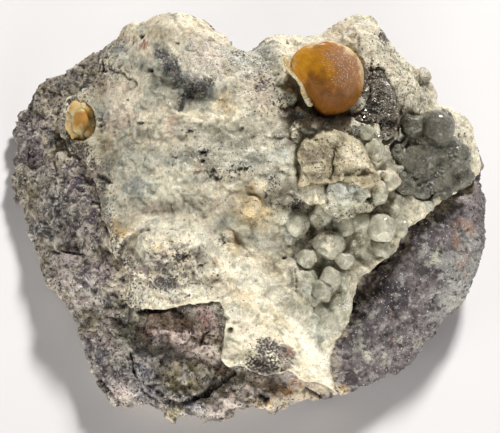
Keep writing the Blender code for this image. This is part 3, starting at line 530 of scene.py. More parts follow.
# Marks on the crust: screen colour, then soft ellipses or lines in photo pixels
CRUST_PATCHES = [
    ((198, 197, 176), [
        (150, 66, 30, 10, 0.9), (165, 88, 18, 14, 0.7), (235, 155, 46, 16, 0.7), (165, 190, 42, 12, 0.6),
        (285, 150, 16, 20, 0.6), (262, 62, 14, 12, 0.6), (150, 165, 34, 9, 0.6), (215, 128, 26, 8, 0.4),
        (200, 245, 12, 7, 0.3), (182, 290, 26, 8, 0.5), (205, 270, 12, 8, 0.5), (240, 345, 12, 12, 0.3),
        (232, 312, 9, 7, 0.7), (252, 232, 10, 10, 0.4), (320, 350, 9, 12, 0.5), (118, 205, 12, 10, 0.5),
    ]),
    ((148, 155, 150), [
        (120, 51, 10, 7, 0.9), (103, 112, 9, 11, 0.8), (136, 186, 13, 12, 0.8), (172, 158, 20, 8, 0.5),
        (126, 152, 16, 8, 0.5), (238, 60, 12, 8, 0.8), (205, 182, 14, 7, 0.5), (185, 128, 10, 7, 0.4),
        (262, 50, 8, 6, 0.5), (250, 160, 12, 8, 0.4), (140, 292, 8, 9, 0.3),
    ]),
    ((128, 122, 100), [
        (150, 136, 17, 5, 0.8, -14), (125, 142, 14, 4, 0.5), (206, 166, 14, 8, 0.8),
        (244, 140, 18, 9, 0.6), (287, 138, 14, 7, 0.8, -20), (268, 62, 9, 9, 0.5), (196, 156, 18, 5, 0.6),
        (135, 200, 7, 8, 0.4), (286, 190, 14, 12, 0.8), (262, 122, 14, 7, 0.5),
        (228, 178, 16, 6, 0.6, 12), (272, 66, 10, 8, 0.4), (110, 160, 8, 14, 0.5), (175, 208, 12, 4, 0.4),
        (236, 215, 9, 5, 0.5), (265, 240, 7, 10, 0.4),
    ]),
    ((142, 146, 120), [
        (286, 95, 15, 13, 0.95), (376, 230, 30, 15, 0.85, 5), (352, 214, 34, 12, 0.6),
        (325, 285, 24, 26, 0.7), (345, 300, 10, 20, 0.5), (283, 214, 12, 14, 0.5),
        (300, 300, 14, 22, 0.5), (400, 205, 16, 14, 0.6),
    ]),
    ((222, 226, 212), [
        (347, 193, 22, 10, 0.95), (320, 322, 16, 18, 0.8), (297, 224, 12, 11, 0.6),
        (276, 250, 20, 14, 0.4), (283, 154, 9, 7, 0.8), (268, 165, 9, 9, 0.5), (315, 290, 12, 14, 0.5),
        (380, 178, 12, 6, 0.5),
    ]),
    ((208, 180, 124), [
        (231, 100, 10, 13, 0.9, 15), (253, 190, 12, 9, 0.8), (256, 207, 18, 20, 0.7),
        (234, 246, 7, 11, 0.9, 10), (120, 230, 12, 8, 0.9), (280, 315, 14, 14, 0.4),
        (222, 262, 14, 5, 0.5), (150, 252, 18, 4, 0.5), (312, 388, 22, 10, 0.5), (206, 22, 12, 9, 0.5),
        (196, 186, 12, 5, 0.4), (246, 296, 16, 6, 0.4, -30), (180, 258, 10, 4, 0.6),
        (270, 262, 16, 10, 0.4), (240, 200, 8, 14, 0.5),
    ]),
    ((164, 146, 106), [
        (100, 86, 8, 13, 0.8), (108, 144, 10, 13, 0.7), (82, 148, 9, 10, 0.8), (160, 34, 14, 8, 0.6),
        (90, 62, 8, 6, 0.3), (286, 250, 8, 12, 0.4), (214, 190, 10, 5, 0.5), (170, 236, 14, 3, 0.4),
    ]),
    ((226, 204, 170), [
        (192, 30, 12, 7, 0.8), (120, 36, 12, 9, 0.6), (168, 20, 30, 6, 0.5), (88, 64, 12, 9, 0.8),
        (345, 30, 18, 10, 0.7), (262, 38, 14, 6, 0.7),
    ]),
    ((228, 204, 182), [
        (83, 159, 13, 7, 0.9), (174, 126, 7, 16, 0.6, 8), (120, 118, 16, 12, 0.6), (118, 90, 16, 9, 0.5),
        (262, 92, 10, 16, 0.6), (205, 60, 18, 18, 0.6), (222, 205, 12, 8, 0.4), (150, 212, 20, 6, 0.4),
    ]),
    ((160, 96, 66), [
        (143, 47, 8, 3, 0.9), (286, 353, 4, 5, 0.95), (100, 280, 4, 4, 0.6), (196, 172, 4, 2, 0.6),
        (174, 118, 3, 6, 0.3), (218, 262, 4, 2, 0.6), (234, 240, 3, 4, 0.5),
    ]),
    ((100, 84, 80), [
        (262, 350, 6, 12, 0.9), (278, 346, 12, 5, 0.8, -25), (262, 374, 14, 9, 0.8, 20),
        (165, 284, 13, 5, 0.8), (157, 266, 8, 6, 0.8), (115, 262, 12, 4, 0.8), (286, 362, 6, 10, 0.7),
        (185, 246, 5, 3, 0.7, 30), (200, 250, 4, 4, 0.6), (170, 300, 10, 3, 0.6), (120, 258, 8, 6, 0.6),
        (103, 186, 5, 14, 0.7, -20),
    ]),
    # Brown painted shade between the botryoids in the hollows of the crust
    ((122, 110, 78), [
        (316, 228, 11, 10, 0.95), (356, 247, 15, 8, 0.9, 10), (345, 266, 14, 7, 0.8),
        (382, 258, 18, 4, 0.9), (337, 238, 7, 9, 0.7), (292, 128, 12, 7, 0.8), (306, 206, 8, 8, 0.6),
        (300, 240, 5, 8, 0.6), (310, 270, 8, 5, 0.6), (338, 290, 6, 9, 0.6), (395, 235, 8, 4, 0.4),
    ]),
    ((112, 106, 92), [
        (395, 118, 12, 16, 0.8), (395, 150, 12, 22, 0.7), (345, 118, 12, 8, 0.9), (305, 116, 18, 6, 0.7),
        (405, 195, 9, 14, 0.8),
    ]),
]

CRUST_STROKES = [
    ((86, 92, 92), [
        ([(162, 55), (170, 64), (178, 76), (184, 96)], 8, 0.98),
        ([(184, 78), (198, 84), (212, 88)], 9, 0.95), ([(181, 96), (180, 106)], 4, 0.9),
    ]),
    (BRIGHT_CREAM, [
        ([(150, 226), (180, 227), (205, 238), (225, 255), (245, 272), (262, 285), (280, 300),
          (293, 318), (303, 335), (315, 355), (326, 382)], 9, 0.95),
        ([(178, 44), (185, 56), (193, 66), (214, 78)], 4, 0.9),
        ([(216, 78), (230, 84), (240, 100), (246, 112), (262, 130)], 6, 0.95),
        ([(130, 276), (130, 288), (140, 300)], 6, 0.8), ([(228, 316), (236, 326), (262, 332)], 11, 0.4),
        ([(345, 268), (350, 285), (348, 310)], 2, 0.8), ([(165, 18), (200, 22)], 5, 0.7),
        ([(455, 112), (466, 130), (478, 160)], 4, 0.9), ([(362, 172), (382, 182), (396, 178)], 5, 0.8),
        ([(175, 148), (200, 142)], 5, 0.6), ([(190, 190), (216, 182)], 5, 0.5),
        ([(268, 42), (290, 48)], 5, 0.6),
    ]),
]

# Dark lines and holes in the crust, areas with black specks, knobs and raised areas
VEINS = [
    ([(94, 76), (100, 71), (104, 72), (108, 70), (114, 71), (120, 72), (127, 77), (133, 79), (138, 84)],
     1.0, 0.8),
    ([(103, 61), (104, 66), (103, 71)], 1.3, 0.9), ([(96, 56), (104, 53)], 1.0, 0.8),
    ([(147, 229), (138, 231), (132, 237), (127, 240), (120, 249)], 2.6, 0.85),
    ([(98, 175), (104, 177), (110, 182)], 2.4, 0.95), ([(295, 270), (296, 280), (295, 292)], 0.7, 0.8),
    ([(128, 275), (126, 290), (123, 303), (119, 318), (115, 335)], 1.8, 0.8),
    ([(262, 190), (269, 196), (272, 206), (271, 215)], 0.7, 0.6),
    ([(271, 140), (285, 136), (298, 145)], 0.8, 0.5), ([(222, 238), (226, 246), (228, 252)], 1.0, 0.6),
    ([(175, 251), (184, 246)], 1.2, 0.7), ([(198, 246), (199, 254)], 0.9, 0.6),
    ([(192, 170), (198, 172), (206, 171)], 0.9, 0.6), ([(273, 343), (280, 347), (285, 350)], 1.2, 0.9),
    ([(300, 181), (318, 182), (340, 179), (372, 180)], 1.3, 0.95),
    ([(327, 182), (328, 192), (327, 204)], 1.3, 0.9), ([(366, 198), (373, 205), (380, 203)], 1.0, 0.7),
    ([(308, 390), (314, 393), (322, 396)], 1.3, 0.9), ([(270, 392), (286, 380), (300, 372)], 0.8, 0.5),
    ([(286, 109), (296, 105), (302, 96)], 1.8, 0.9), ([(262, 130), (268, 138), (282, 137)], 1.0, 0.5),
]
PITS = [
    (143, 37, 3.6), (142, 122, 2.0), (138, 123, 1.4), (203, 152, 2.2), (203, 160, 2.0), (213, 170, 2.2),
    (217, 178, 1.8), (222, 178, 1.2), (240, 168, 1.4), (245, 169, 1.4), (241, 129, 1.6), (253, 136, 1.0),
    (257, 151, 1.0), (129, 99, 1.4), (177, 44, 1.4), (99, 125, 2.0), (97, 119, 1.2), (172, 155, 1.2),
    (176, 157, 1.4), (226, 319, 2.2), (229, 330, 2.6), (201, 265, 1.6), (215, 279, 1.2), (178, 302, 1.6),
    (263, 396, 3.4), (314, 396, 2.2), (322, 307, 1.2), (314, 291, 1.6), (306, 156, 2.2), (256, 280, 1.0),
    (285, 258, 1.6), (201, 203, 1.0), (66, 155, 1.6), (93, 159, 1.8), (287, 43, 1.6), (151, 70, 2.4),
    (190, 131, 1.0), (196, 136, 0.8), (187, 136, 0.8), (252, 384, 1.6), (290, 398, 1.2), (231, 176, 1.0),
]
BLACK_SPECK_AREAS = [
    (164, 55, 8, 6, 1.0), (172, 66, 8, 7, 1.0, -30), (180, 80, 6, 8, 0.9), (196, 88, 12, 6, 1.0, -20),
    (188, 96, 9, 6, 0.9), (181, 106, 4, 5, 0.9), (206, 84, 8, 6, 0.8), (85, 150, 7, 7, 0.7),
    (72, 142, 6, 8, 0.8), (273, 182, 5, 8, 0.7), (262, 85, 8, 7, 0.7), (192, 130, 12, 4, 0.5),
    (297, 205, 8, 6, 0.8), (285, 105, 9, 6, 0.6), (240, 54, 10, 4, 0.8), (240, 169, 10, 5, 0.6),
    (115, 262, 14, 5, 0.8), (262, 366, 14, 8, 0.7), (384, 36, 5, 8, 0.9), (222, 240, 5, 7, 0.7),
    (270, 350, 16, 12, 0.5), (180, 257, 9, 5, 0.8), (165, 284, 14, 6, 0.7), (345, 216, 16, 6, 0.5),
    (372, 205, 10, 8, 0.5), (205, 152, 9, 4, 0.6), (214, 174, 9, 6, 0.6), (110, 68, 14, 4, 0.6),
    (98, 58, 8, 6, 0.5), (306, 158, 8, 8, 0.5), (270, 395, 16, 6, 0.5), (102, 122, 6, 6, 0.6),
]
KNOBS = [
    (253, 206, 10, 0.35), (423, 76, 7, 0.9), (286, 96, 13, 0.8), (283, 154, 8, 0.4), (380, 190, 8, 0.5),
    (392, 182, 8, 0.5), (372, 205, 8, 0.4), (392, 208, 8, 0.5), (160, 40, 22, 0.5), (120, 62, 10, 0.4),
    (88, 64, 10, 0.5), (118, 98, 16, 0.4), (232, 62, 9, 0.5), (208, 66, 12, 0.4),
]
RAISED_AREAS = [(348, 193, 20, 9, 1.0), (312, 194, 13, 9, 0.6), (383, 180, 14, 9, 0.5)]

# Lines where the crust meets the rock, and the foot of the ledge, where a painted shadow lies under its
# overhang
LEFT_SEAM = [
    (112, 42), (99, 62), (97, 78), (72, 98), (60, 112), (64, 142), (86, 158), (98, 178), (102, 210),
    (112, 245), (120, 262), (132, 300),
]
LEDGE_SHADOW_LINE = [(142, 308), (180, 304), (222, 300)]
CRUST_RIGHT_SEAM = [
    (332, 375), (335, 345), (352, 310), (355, 282), (384, 258), (404, 240), (430, 210), (456, 192),
    (474, 178),
]


def wobbled_pixels(points):
    """Photo pixels of the points, shaken a little so that the marks have natural edges."""
    x, y = photo_pixels(points)
    scaled = points / MM
    x = x + 4.0 * smooth_noise(scaled, 2.2, 3) + 4.0 * rough_noise(scaled, 0.8, 4)
    y = y + 4.0 * smooth_noise(scaled, 2.2, 13) + 4.0 * rough_noise(scaled, 0.8, 6)
    return x, y


def facing(points, faces):
    """Share from 0 to 1 by which each point faces the camera."""
    return eased(point_normals(points, faces).dot(TO_CAMERA), -0.15, 0.25)


def sharp_pixels(points):
    """Photo pixels shaken very little, for cracks and holes."""
    x, y = photo_pixels(points)
    scaled = points / MM
    x = x + 1.4 * smooth_noise(scaled, 0.9, 8) + 0.8 * smooth_noise(scaled, 0.35, 18)
    return x, y + 1.4 * smooth_noise(scaled, 0.9, 9) + 0.8 * smooth_noise(scaled, 0.35, 19)


def pit_share(x, y):
    """Share from 0 to 1 by which each point lies in a pit."""
    return spots(x, y, [(pit_x, pit_y, size, 0.8 * size, 1.0) for pit_x, pit_y, size in PITS], 0.35)


def near_line(x, y, line, reach):
    """One on the line, falling to zero at the reach in pixels."""
    return strokes(x, y, [(line, reach / 2.0, 1.0)], 1.0)


# Where the crust is lumpy, where it is sandy with fine grains, and where specks and glints crowd
LUMPY_AREAS = [
    (330, 235, 58, 54, 1.0), (318, 292, 32, 34, 1.0), (265, 145, 28, 30, 0.6), (385, 195, 26, 26, 1.0),
    (305, 128, 30, 16, 0.8), (235, 75, 30, 26, 0.4), (285, 92, 20, 20, 0.7), (395, 95, 40, 40, 0.4),
]
SANDY_AREAS = [
    (385, 60, 46, 50, 1.0, 30), (410, 100, 26, 26, 1.0), (355, 30, 30, 16, 1.0), (210, 58, 34, 24, 0.8),
    (262, 85, 34, 36, 0.8), (165, 275, 60, 34, 0.6), (465, 130, 16, 30, 1.0, -20),
    (285, 195, 18, 16, 0.7),
]
BROWN_SPECK_AREAS = [(165, 272, 50, 26, 1.0), (120, 265, 16, 14, 0.8), (270, 355, 22, 18, 0.6)]
FINE_SPECK_AREAS = [
    (395, 70, 50, 55, 0.6), (225, 55, 50, 30, 0.3), (262, 85, 34, 40, 0.5), (265, 365, 25, 25, 0.9),
    (230, 160, 60, 20, 0.4), (165, 275, 60, 34, 0.6), (300, 200, 60, 24, 0.4), (100, 75, 30, 20, 0.5),
]
GLINT_AREAS = [
    (208, 56, 26, 20, 1.0), (250, 62, 24, 16, 1.0), (305, 116, 20, 8, 1.0), (330, 110, 14, 8, 0.8),
    (360, 132, 16, 16, 1.0), (330, 240, 40, 30, 0.4), (230, 150, 40, 20, 0.4), (345, 305, 10, 10, 0.8),
    (330, 355, 8, 12, 0.6), (405, 140, 14, 20, 0.8), (285, 130, 16, 12, 0.5), (170, 210, 30, 10, 0.3),
]


def crust_forms(points):
    """Height of the crust's fine forms over the CAD surface in millimetres, and what its paint follows."""
    scaled = warped(points / MM, 1.4, 0.35, 20)
    x, y = sharp_pixels(points)
    lumpy = spots(x, y, LUMPY_AREAS)
    sandy = spots(x, y, SANDY_AREAS)
    large, large_crease, large_number = lumps(scaled, 2.3, 21)
    medium, medium_crease, number = lumps(scaled, 1.05, 31)
    small, small_crease, _ = lumps(scaled, 0.5, 41)
    flat = facets(scaled, 2.6, 61)
    fine_flat = facets(scaled, 1.0, 65)
    height = 0.42 * rough_noise(scaled, 3.6, 51, 6) + 0.2 * flat * (1.0 - lumpy) + 0.08 * fine_flat
    height += 1.3 * spots(x, y, RAISED_AREAS, 0.25)
    height += 0.85 * lumpy * (large - 0.7) + (0.05 + 0.3 * lumpy + 0.2 * sandy) * (medium - 0.7)
    height += (0.03 + 0.16 * sandy + 0.06 * lumpy) * (small - 0.7)
    for knob_x, knob_y, size, tall in KNOBS:
        away = np.hypot(x - knob_x, y - knob_y) / size
        height += tall * np.sqrt(np.clip(1.0 - away ** 2, 0.0, 1.0))
    cracks_and_shadow_lines = strokes(x, y, VEINS, 0.5)
    pits = pit_share(x, y)
    height -= 0.5 * cracks_and_shadow_lines + 0.6 * pits
    # Share of the creases between lumps, which the paint darkens as painted shade
    crease_shade = 0.85 * lumpy * large_crease + (0.5 * lumpy + 0.45 * sandy) * medium_crease
    crease_shade += 0.35 * sandy * small_crease
    return height, {
        "crease_shade": crease_shade, "number": number, "large": large_number, "cracks_and_shadow_lines": cracks_and_shadow_lines, "pits": pits,
        "lumpy": lumpy, "sandy": sandy}


def crust_paint(points, front, notes):
    """Colour of the crust, and how many dark specks and glints it has."""
    scaled = points / MM
    x, y = wobbled_pixels(points)
    cloud = rough_noise(scaled, 2.4, 141, 5)
    tint = rough_noise(scaled, 1.5, 151, 4)
    grain = rough_noise(scaled, 0.8, 161, 3)
    colours = painted(
        plain(points, CREAM),
        (0.85 * eased(cloud, 0.0, 0.8), PALE_GREY),
        (0.8 * eased(-cloud, 0.15, 0.9), BRIGHT_CREAM),
    )
    colours = painted_spots(colours, x, y, CRUST_PATCHES, front, 0.6)
    for colour, lines in CRUST_STROKES:
        colours = painted(colours, (front * strokes(x, y, lines) * (0.9 + 0.4 * tint), colour))
    seam = near_line(x, y, LEFT_SEAM, 18.0) * eased(tint + 0.5 * grain, -0.1, 0.25)
    brown = spots(x, y, BROWN_SPECK_AREAS) * eased(smooth_noise(scaled, 0.6, 158), 0.25, 0.42)
    specks = np.maximum(0.7 * spots(x, y, FINE_SPECK_AREAS), 0.7 * near_line(x, y, LEFT_SEAM, 26.0))
    glints = spots(x, y, GLINT_AREAS)
    x, y = sharp_pixels(points)
    dusted = spots(x, y, BLACK_SPECK_AREAS, 0.6)
    black_specks_and_ledge_shadow = dusted * eased(smooth_noise(scaled, 0.42, 149), 0.2, 0.36)
    broken = 0.65 + 0.5 * smooth_noise(scaled, 0.5, 148)
    colours = painted(
        colours,
        (0.45 * eased(tint, 0.35, 0.9), PINKISH),
        (0.5 * eased(-tint, 0.35, 0.9), MID_GREY),
        (notes["lumpy"] * 0.5 * eased(notes["number"], 0.7, 0.9), (132, 130, 104)),
        (notes["lumpy"] * 0.5 * eased(notes["large"], 0.3, 0.1), (198, 198, 174)),
        (notes["sandy"] * 0.6 * eased(notes["number"], 0.25, 0.1), (236, 226, 206)),
        # Painted shade in the creases between lumps
        (0.55 * notes["crease_shade"], (116, 104, 78)),
        (0.5 * eased(grain, 0.45, 0.9), (112, 104, 90)),
        (0.6 * eased(-grain, 0.35, 0.8), (240, 235, 216)),
        (0.6 * front * seam, (112, 100, 96)),
        (0.85 * front * black_specks_and_ledge_shadow, (46, 44, 44)),
        (front * notes["cracks_and_shadow_lines"] * broken, SPECK_DARK),
        (front * notes["pits"], (38, 28, 22)),
        (0.8 * front * brown, (112, 92, 90)),
    )
    return colours, {"specks": 0.12 + front * (specks + dusted), "glints": 0.1 + 0.7 * front * glints}


def visible_limit(fine, coarse):
    """Edge limit that is fine where the camera sees the surface, coarse behind and below it."""
    def limit(middles, lengths):
        towards = np.array(CAMERA_SPOT) - middles
        towards /= np.linalg.norm(towards, axis=1, keepdims=True)
        result = np.full(len(middles), coarse)
        for index in np.flatnonzero((lengths > fine * MM) & (lengths <= coarse * MM)):
            start = Vector(middles[index] + towards[index] * HIDDEN_BELOW * MM)
            if WHOLE_TREE.ray_cast(start, Vector(towards[index]))[0] is None:
                result[index] = fine
        return result * MM
    return limit


def dressed(node, name, material, forms, painting, sizes, smoothing):
    """Fine copy of a CAD node: smaller triangles, softened facets, its fine forms, then its colours."""
    points, faces = welded_arrays(node)
    points, faces = refined(points, faces, visible_limit(*sizes))
    points = relaxed(points, faces, smoothing)
    height, notes = forms(points)
    colours, shares = painting(points, facing(points, faces), notes)
    points = raised(points, faces, height)
    points[:, 2] = np.maximum(points[:, 2], 0.0)
    obj = mesh_object(name, points, faces, material)
    add_paint(obj, colours, **shares)
    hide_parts(node)


def add_crust():
    """The pale crust with its lumps, creases, holes and colours."""
    material = stone_material("pale_crust", (66, 58, 52), 0.12, 0.5)
    dressed(
        "chalcedony_crust", "crust_surface", material,
        crust_forms, crust_paint, CRUST_TRIANGLES, CRUST_SMOOTHING)


# Knobs of cream grains beside the block and the large ball: photo pixel, then its radius
CREAM_KNOBS = [
    (298, 125, 4), (304, 121, 3), (302, 130, 4), (296, 134, 5), (305, 137, 6), (310, 127, 4),
    (316, 123, 4), (322, 126, 5), (320, 133, 5), (312, 134, 5), (328, 131, 5), (334, 135, 4),
    (300, 144, 6), (309, 146, 6), (319, 142, 5), (328, 141, 5), (338, 142, 5), (294, 128, 3),
    (299, 152, 5), (308, 155, 4), (370, 176, 5), (362, 174, 4), (378, 180, 5), (386, 176, 5),
    (394, 180, 5), (384, 186, 5), (376, 190, 4), (372, 168, 4),
]
# The pale lip that the large ball grew against: photo pixels of its line, radius in pixels, places of the
# balls between two of them, and how far it stands before the middle of the large ball in millimetres
BALL_LIP = [(286, 60), (288, 67), (293, 73), (299, 79), (303, 85), (304, 92), (307, 99), (311, 106)]
BALL_LIP_SIZE = 3.4
BALL_LIP_SHARES = (0.0, 0.33, 0.67)
BALL_LIP_STAND = 0.9


def standing_balls(marks, sink, growth):
    """Scene centre and radius of balls at photo pixels, sunk into what the camera sees by a share of it."""
    shapes = []
    for x, y, size in marks:
        u, v = photo_spot(x, y)
        radius = size * PIXEL
        centre = to_scene([(u, v, level_at(STONE_TREE, u, v) - sink * radius)])[0]
        shapes.append((centre, growth * radius))
    return shapes


def add_knobs():
    """Cream knobs beside the block and the large ball."""
    points, faces = lumpy_balls(standing_balls(CREAM_KNOBS, 0.1, 1.15), MIDDLE_LEVEL, 0.16, 501)
    scaled = points / MM
    points = points + (0.1 * rough_noise(scaled, 0.7, 502, 3))[:, None] * TO_CAMERA * MM
    tint = rough_noise(scaled, 0.9, 505, 3)
    colours = painted(
        plain(points, (206, 196, 166)),
        (0.8 * eased(tint, 0.1, 0.8), (150, 140, 112)),
        (0.7 * eased(-tint, 0.2, 0.8), (240, 232, 208)),
    )
    material = stone_material("cream_knobs", (70, 60, 48), 0.15, 0.5)
    obj = mesh_object("cream_knobs", points, faces, material)
    add_paint(obj, colours, specks=0.5, glints=0.3)


def add_ball_lip():
    """Pale lip on the left of the large ball."""
    lip = []
    for (x0, y0), (x1, y1) in zip(BALL_LIP, BALL_LIP[1:]):
        for share in BALL_LIP_SHARES:
            u, v = photo_spot(x0 + (x1 - x0) * share, y0 + (y1 - y0) * share)
            lip.append((to_scene([(u, v, BALL_CENTRE[2] + BALL_LIP_STAND)])[0], BALL_LIP_SIZE * PIXEL))
    points, faces = lumpy_balls(lip, MIDDLE_LEVEL, 0.14, 521)
    tint = rough_noise(points / MM, 1.0, 525, 3)
    colours = painted(plain(points, (214, 188, 132)), (eased(tint, -0.2, 0.6), (226, 216, 184)))
    material = stone_material("ball_lip", (96, 80, 50), 0.3, 0.4)
    obj = mesh_object("ball_lip", points, faces, material)
    add_paint(obj, colours, specks=0.1, glints=0.3)


# The rock: triangle size where the camera sees it and elsewhere in millimetres, passes of smoothing

ROCK_TRIANGLES = (0.32, 1.3)
ROCK_SMOOTHING = 2

# Screen colours of the rock, and its marks as for the crust
ROCK_DARK = (58, 50, 52)
ROCK_LEFT = (156, 146, 132)
ROCK_RIGHT = (120, 111, 110)
ROCK_LIGHT = (206, 197, 184)

ROCK_PATCHES = [
    ((62, 66, 62), [
        (78, 90, 24, 10, 0.95), (57, 206, 10, 18, 0.95), (42, 232, 13, 9, 0.95), (62, 128, 7, 24, 0.9),
        (52, 137, 14, 9, 0.9), (34, 100, 8, 8, 0.7), (74, 215, 10, 10, 0.8), (122, 300, 6, 12, 0.95),
        (90, 290, 10, 6, 0.8), (104, 303, 8, 5, 0.8), (92, 84, 6, 16, 0.8), (70, 122, 4, 12, 0.9),
    ]),
    ((88, 74, 88), [
        (34, 132, 14, 18, 0.9), (80, 188, 16, 14, 0.95), (72, 170, 10, 8, 0.8), (92, 222, 12, 12, 0.8),
        (28, 152, 9, 10, 0.7), (78, 232, 12, 8, 0.6), (107, 246, 7, 9, 0.95), (92, 340, 6, 12, 0.6),
        (88, 272, 8, 6, 0.9, 30), (76, 262, 7, 5, 0.7), (98, 280, 7, 5, 0.9), (66, 104, 14, 8, 0.7),
        (82, 286, 7, 4, 0.8), (104, 380, 5, 12, 0.7, 20),
    ]),
    ((150, 138, 108), [
        (28, 198, 12, 18, 0.85), (40, 258, 10, 16, 0.8), (60, 246, 20, 5, 0.8), (24, 176, 7, 14, 0.6),
        (45, 92, 16, 7, 0.85), (88, 70, 10, 6, 0.6), (90, 322, 14, 10, 0.8), (45, 112, 12, 6, 0.7),
        (56, 155, 12, 10, 0.6), (66, 140, 6, 6, 0.5), (60, 290, 10, 12, 0.6), (460, 305, 12, 6, 0.7),
    ]),
    ((196, 178, 172), [
        (70, 258, 18, 7, 0.9), (44, 122, 10, 6, 0.7), (86, 160, 12, 6, 0.8), (98, 172, 5, 10, 0.8),
        (104, 270, 10, 12, 0.7), (100, 345, 6, 10, 0.7), (64, 278, 12, 8, 0.7), (110, 322, 7, 10, 0.7),
        (120, 385, 9, 12, 0.8, 30), (116, 350, 8, 10, 0.6), (84, 300, 10, 6, 0.6), (107, 262, 8, 10, 0.6),
    ]),
    ((198, 196, 176), [
        (130, 328, 11, 14, 0.95), (150, 350, 12, 6, 0.8, 10), (120, 360, 6, 12, 0.6),
        (365, 357, 5, 5, 0.95), (360, 344, 7, 8, 0.5), (435, 258, 8, 6, 0.95), (437, 246, 5, 5, 0.7),
        (384, 360, 4, 4, 0.7), (418, 342, 5, 5, 0.5), (210, 370, 8, 6, 0.8), (455, 302, 10, 5, 0.7),
    ]),
    ((174, 174, 166), [
        (462, 282, 14, 18, 0.9), (446, 300, 14, 12, 0.8), (470, 240, 8, 16, 0.6), (455, 262, 14, 10, 0.6),
        (436, 318, 10, 8, 0.5), (475, 262, 6, 16, 0.8),
    ]),
    ((132, 130, 136), [
        (142, 365, 12, 20, 0.95, -20), (150, 390, 12, 12, 0.95, -30), (170, 352, 16, 8, 0.8),
        (196, 408, 14, 9, 0.9, -20), (270, 372, 18, 8, 0.8, 20), (100, 358, 8, 8, 0.8),
        (118, 375, 5, 10, 0.6),
    ]),
    ((212, 184, 170), [
        (180, 328, 34, 14, 0.9), (205, 322, 12, 14, 0.8), (192, 346, 20, 10, 0.8),
        (160, 330, 14, 10, 0.7), (210, 340, 8, 10, 0.6),
    ]),
    ((150, 98, 88), [(151, 325, 9, 3, 0.9, 25), (208, 318, 5, 9, 0.7), (222, 371, 6, 2, 0.8)]),
    ((164, 152, 112), [(181, 378, 17, 14, 0.95), (172, 412, 8, 6, 0.95), (192, 372, 9, 8, 0.7)]),
    ((230, 212, 198), [
        (232, 400, 26, 10, 0.95, 25), (256, 386, 18, 8, 0.9, 20), (300, 378, 18, 7, 0.6),
        (212, 356, 8, 12, 0.9), (125, 396, 14, 6, 0.7), (198, 352, 7, 7, 0.6), (186, 342, 7, 5, 0.5),
        (225, 410, 14, 5, 0.8, 20),
    ]),
    ((232, 214, 180), [
        (270, 404, 26, 8, 0.9), (304, 394, 22, 8, 0.8), (340, 387, 8, 7, 0.95), (168, 418, 7, 4, 0.8),
        (215, 345, 5, 8, 0.6), (326, 386, 9, 8, 0.8),
    ]),
    ((164, 118, 60), [(290, 388, 14, 4, 0.9, 25), (342, 386, 5, 4, 0.6), (264, 403, 12, 3, 0.7, 20)]),
    ((168, 132, 112), [
        (470, 228, 5, 6, 0.9), (458, 241, 5, 4, 0.9), (460, 226, 5, 6, 0.7), (395, 316, 3, 4, 0.9),
        (380, 300, 3, 3, 0.7), (392, 338, 3, 4, 0.8), (462, 262, 5, 8, 0.5), (466, 276, 4, 4, 0.5),
    ]),
    # Dark rock; the marks at (358, 292) and (345, 330) are painted shadow beside the crust's right edge
    ((50, 42, 46), [
        (358, 292, 5, 20, 0.95, 5), (385, 295, 14, 26, 0.7), (427, 272, 14, 7, 0.7),
        (350, 378, 14, 7, 0.8), (395, 262, 14, 5, 0.6, -10), (345, 330, 7, 10, 0.8),
        (430, 222, 12, 8, 0.4), (380, 328, 14, 10, 0.5),
    ]),
]
# Near-black lines on the rock: cracks, and painted shadow, namely the first line under the overhang of the
# ledge and the lines from (354, 278) and (350, 272) beside the crust's right edge
ROCK_CRACKS_AND_SHADOW_LINES = [
    ([(140, 311), (155, 309), (180, 306), (205, 301), (223, 300)], 3.4, 1.0),
    ([(184, 404), (196, 398), (208, 392), (220, 382), (234, 372)], 2.6, 1.0),
    ([(130, 352), (134, 372), (144, 392), (160, 403), (184, 404)], 1.0, 0.7),
    ([(50, 251), (70, 252), (88, 255)], 1.0, 0.7), ([(354, 278), (352, 292), (354, 305)], 1.4, 0.9),
    ([(436, 302), (438, 297)], 1.5, 0.9), ([(261, 395), (266, 399)], 3.0, 0.95),
    ([(308, 390), (322, 397)], 1.6, 0.9), ([(201, 345), (204, 334), (212, 328)], 1.2, 0.7),
    ([(95, 374), (102, 384), (118, 402)], 1.2, 0.6), ([(350, 272), (372, 268), (392, 258)], 1.2, 0.8),
]


def right_side(x, y):
    """Share of the evenly speckled rock on the right."""
    return eased(x + 0.25 * y, 330.0, 400.0)


def rock_forms(points):
    """Height of the rock's fine forms over the CAD surface in millimetres, and what its paint follows."""
    scaled = warped(points / MM, 1.6, 0.4, 60)
    x, y = sharp_pixels(points)
    even = right_side(x, y)
    broad = facets(scaled, 4.6, 61)
    middle = facets(scaled, 1.7, 71)
    fine = facets(scaled, 0.75, 81)
    cracks_and_shadow_lines = strokes(x, y, ROCK_CRACKS_AND_SHADOW_LINES, 0.5)
    height = (0.42 * broad + 0.26 * middle) * (1.0 - 0.5 * even) + 0.12 * fine
    height += 0.3 * rough_noise(scaled, 2.0, 91, 5) - 0.8 * cracks_and_shadow_lines
    return height, {"even": even, "cracks_and_shadow_lines": cracks_and_shadow_lines}


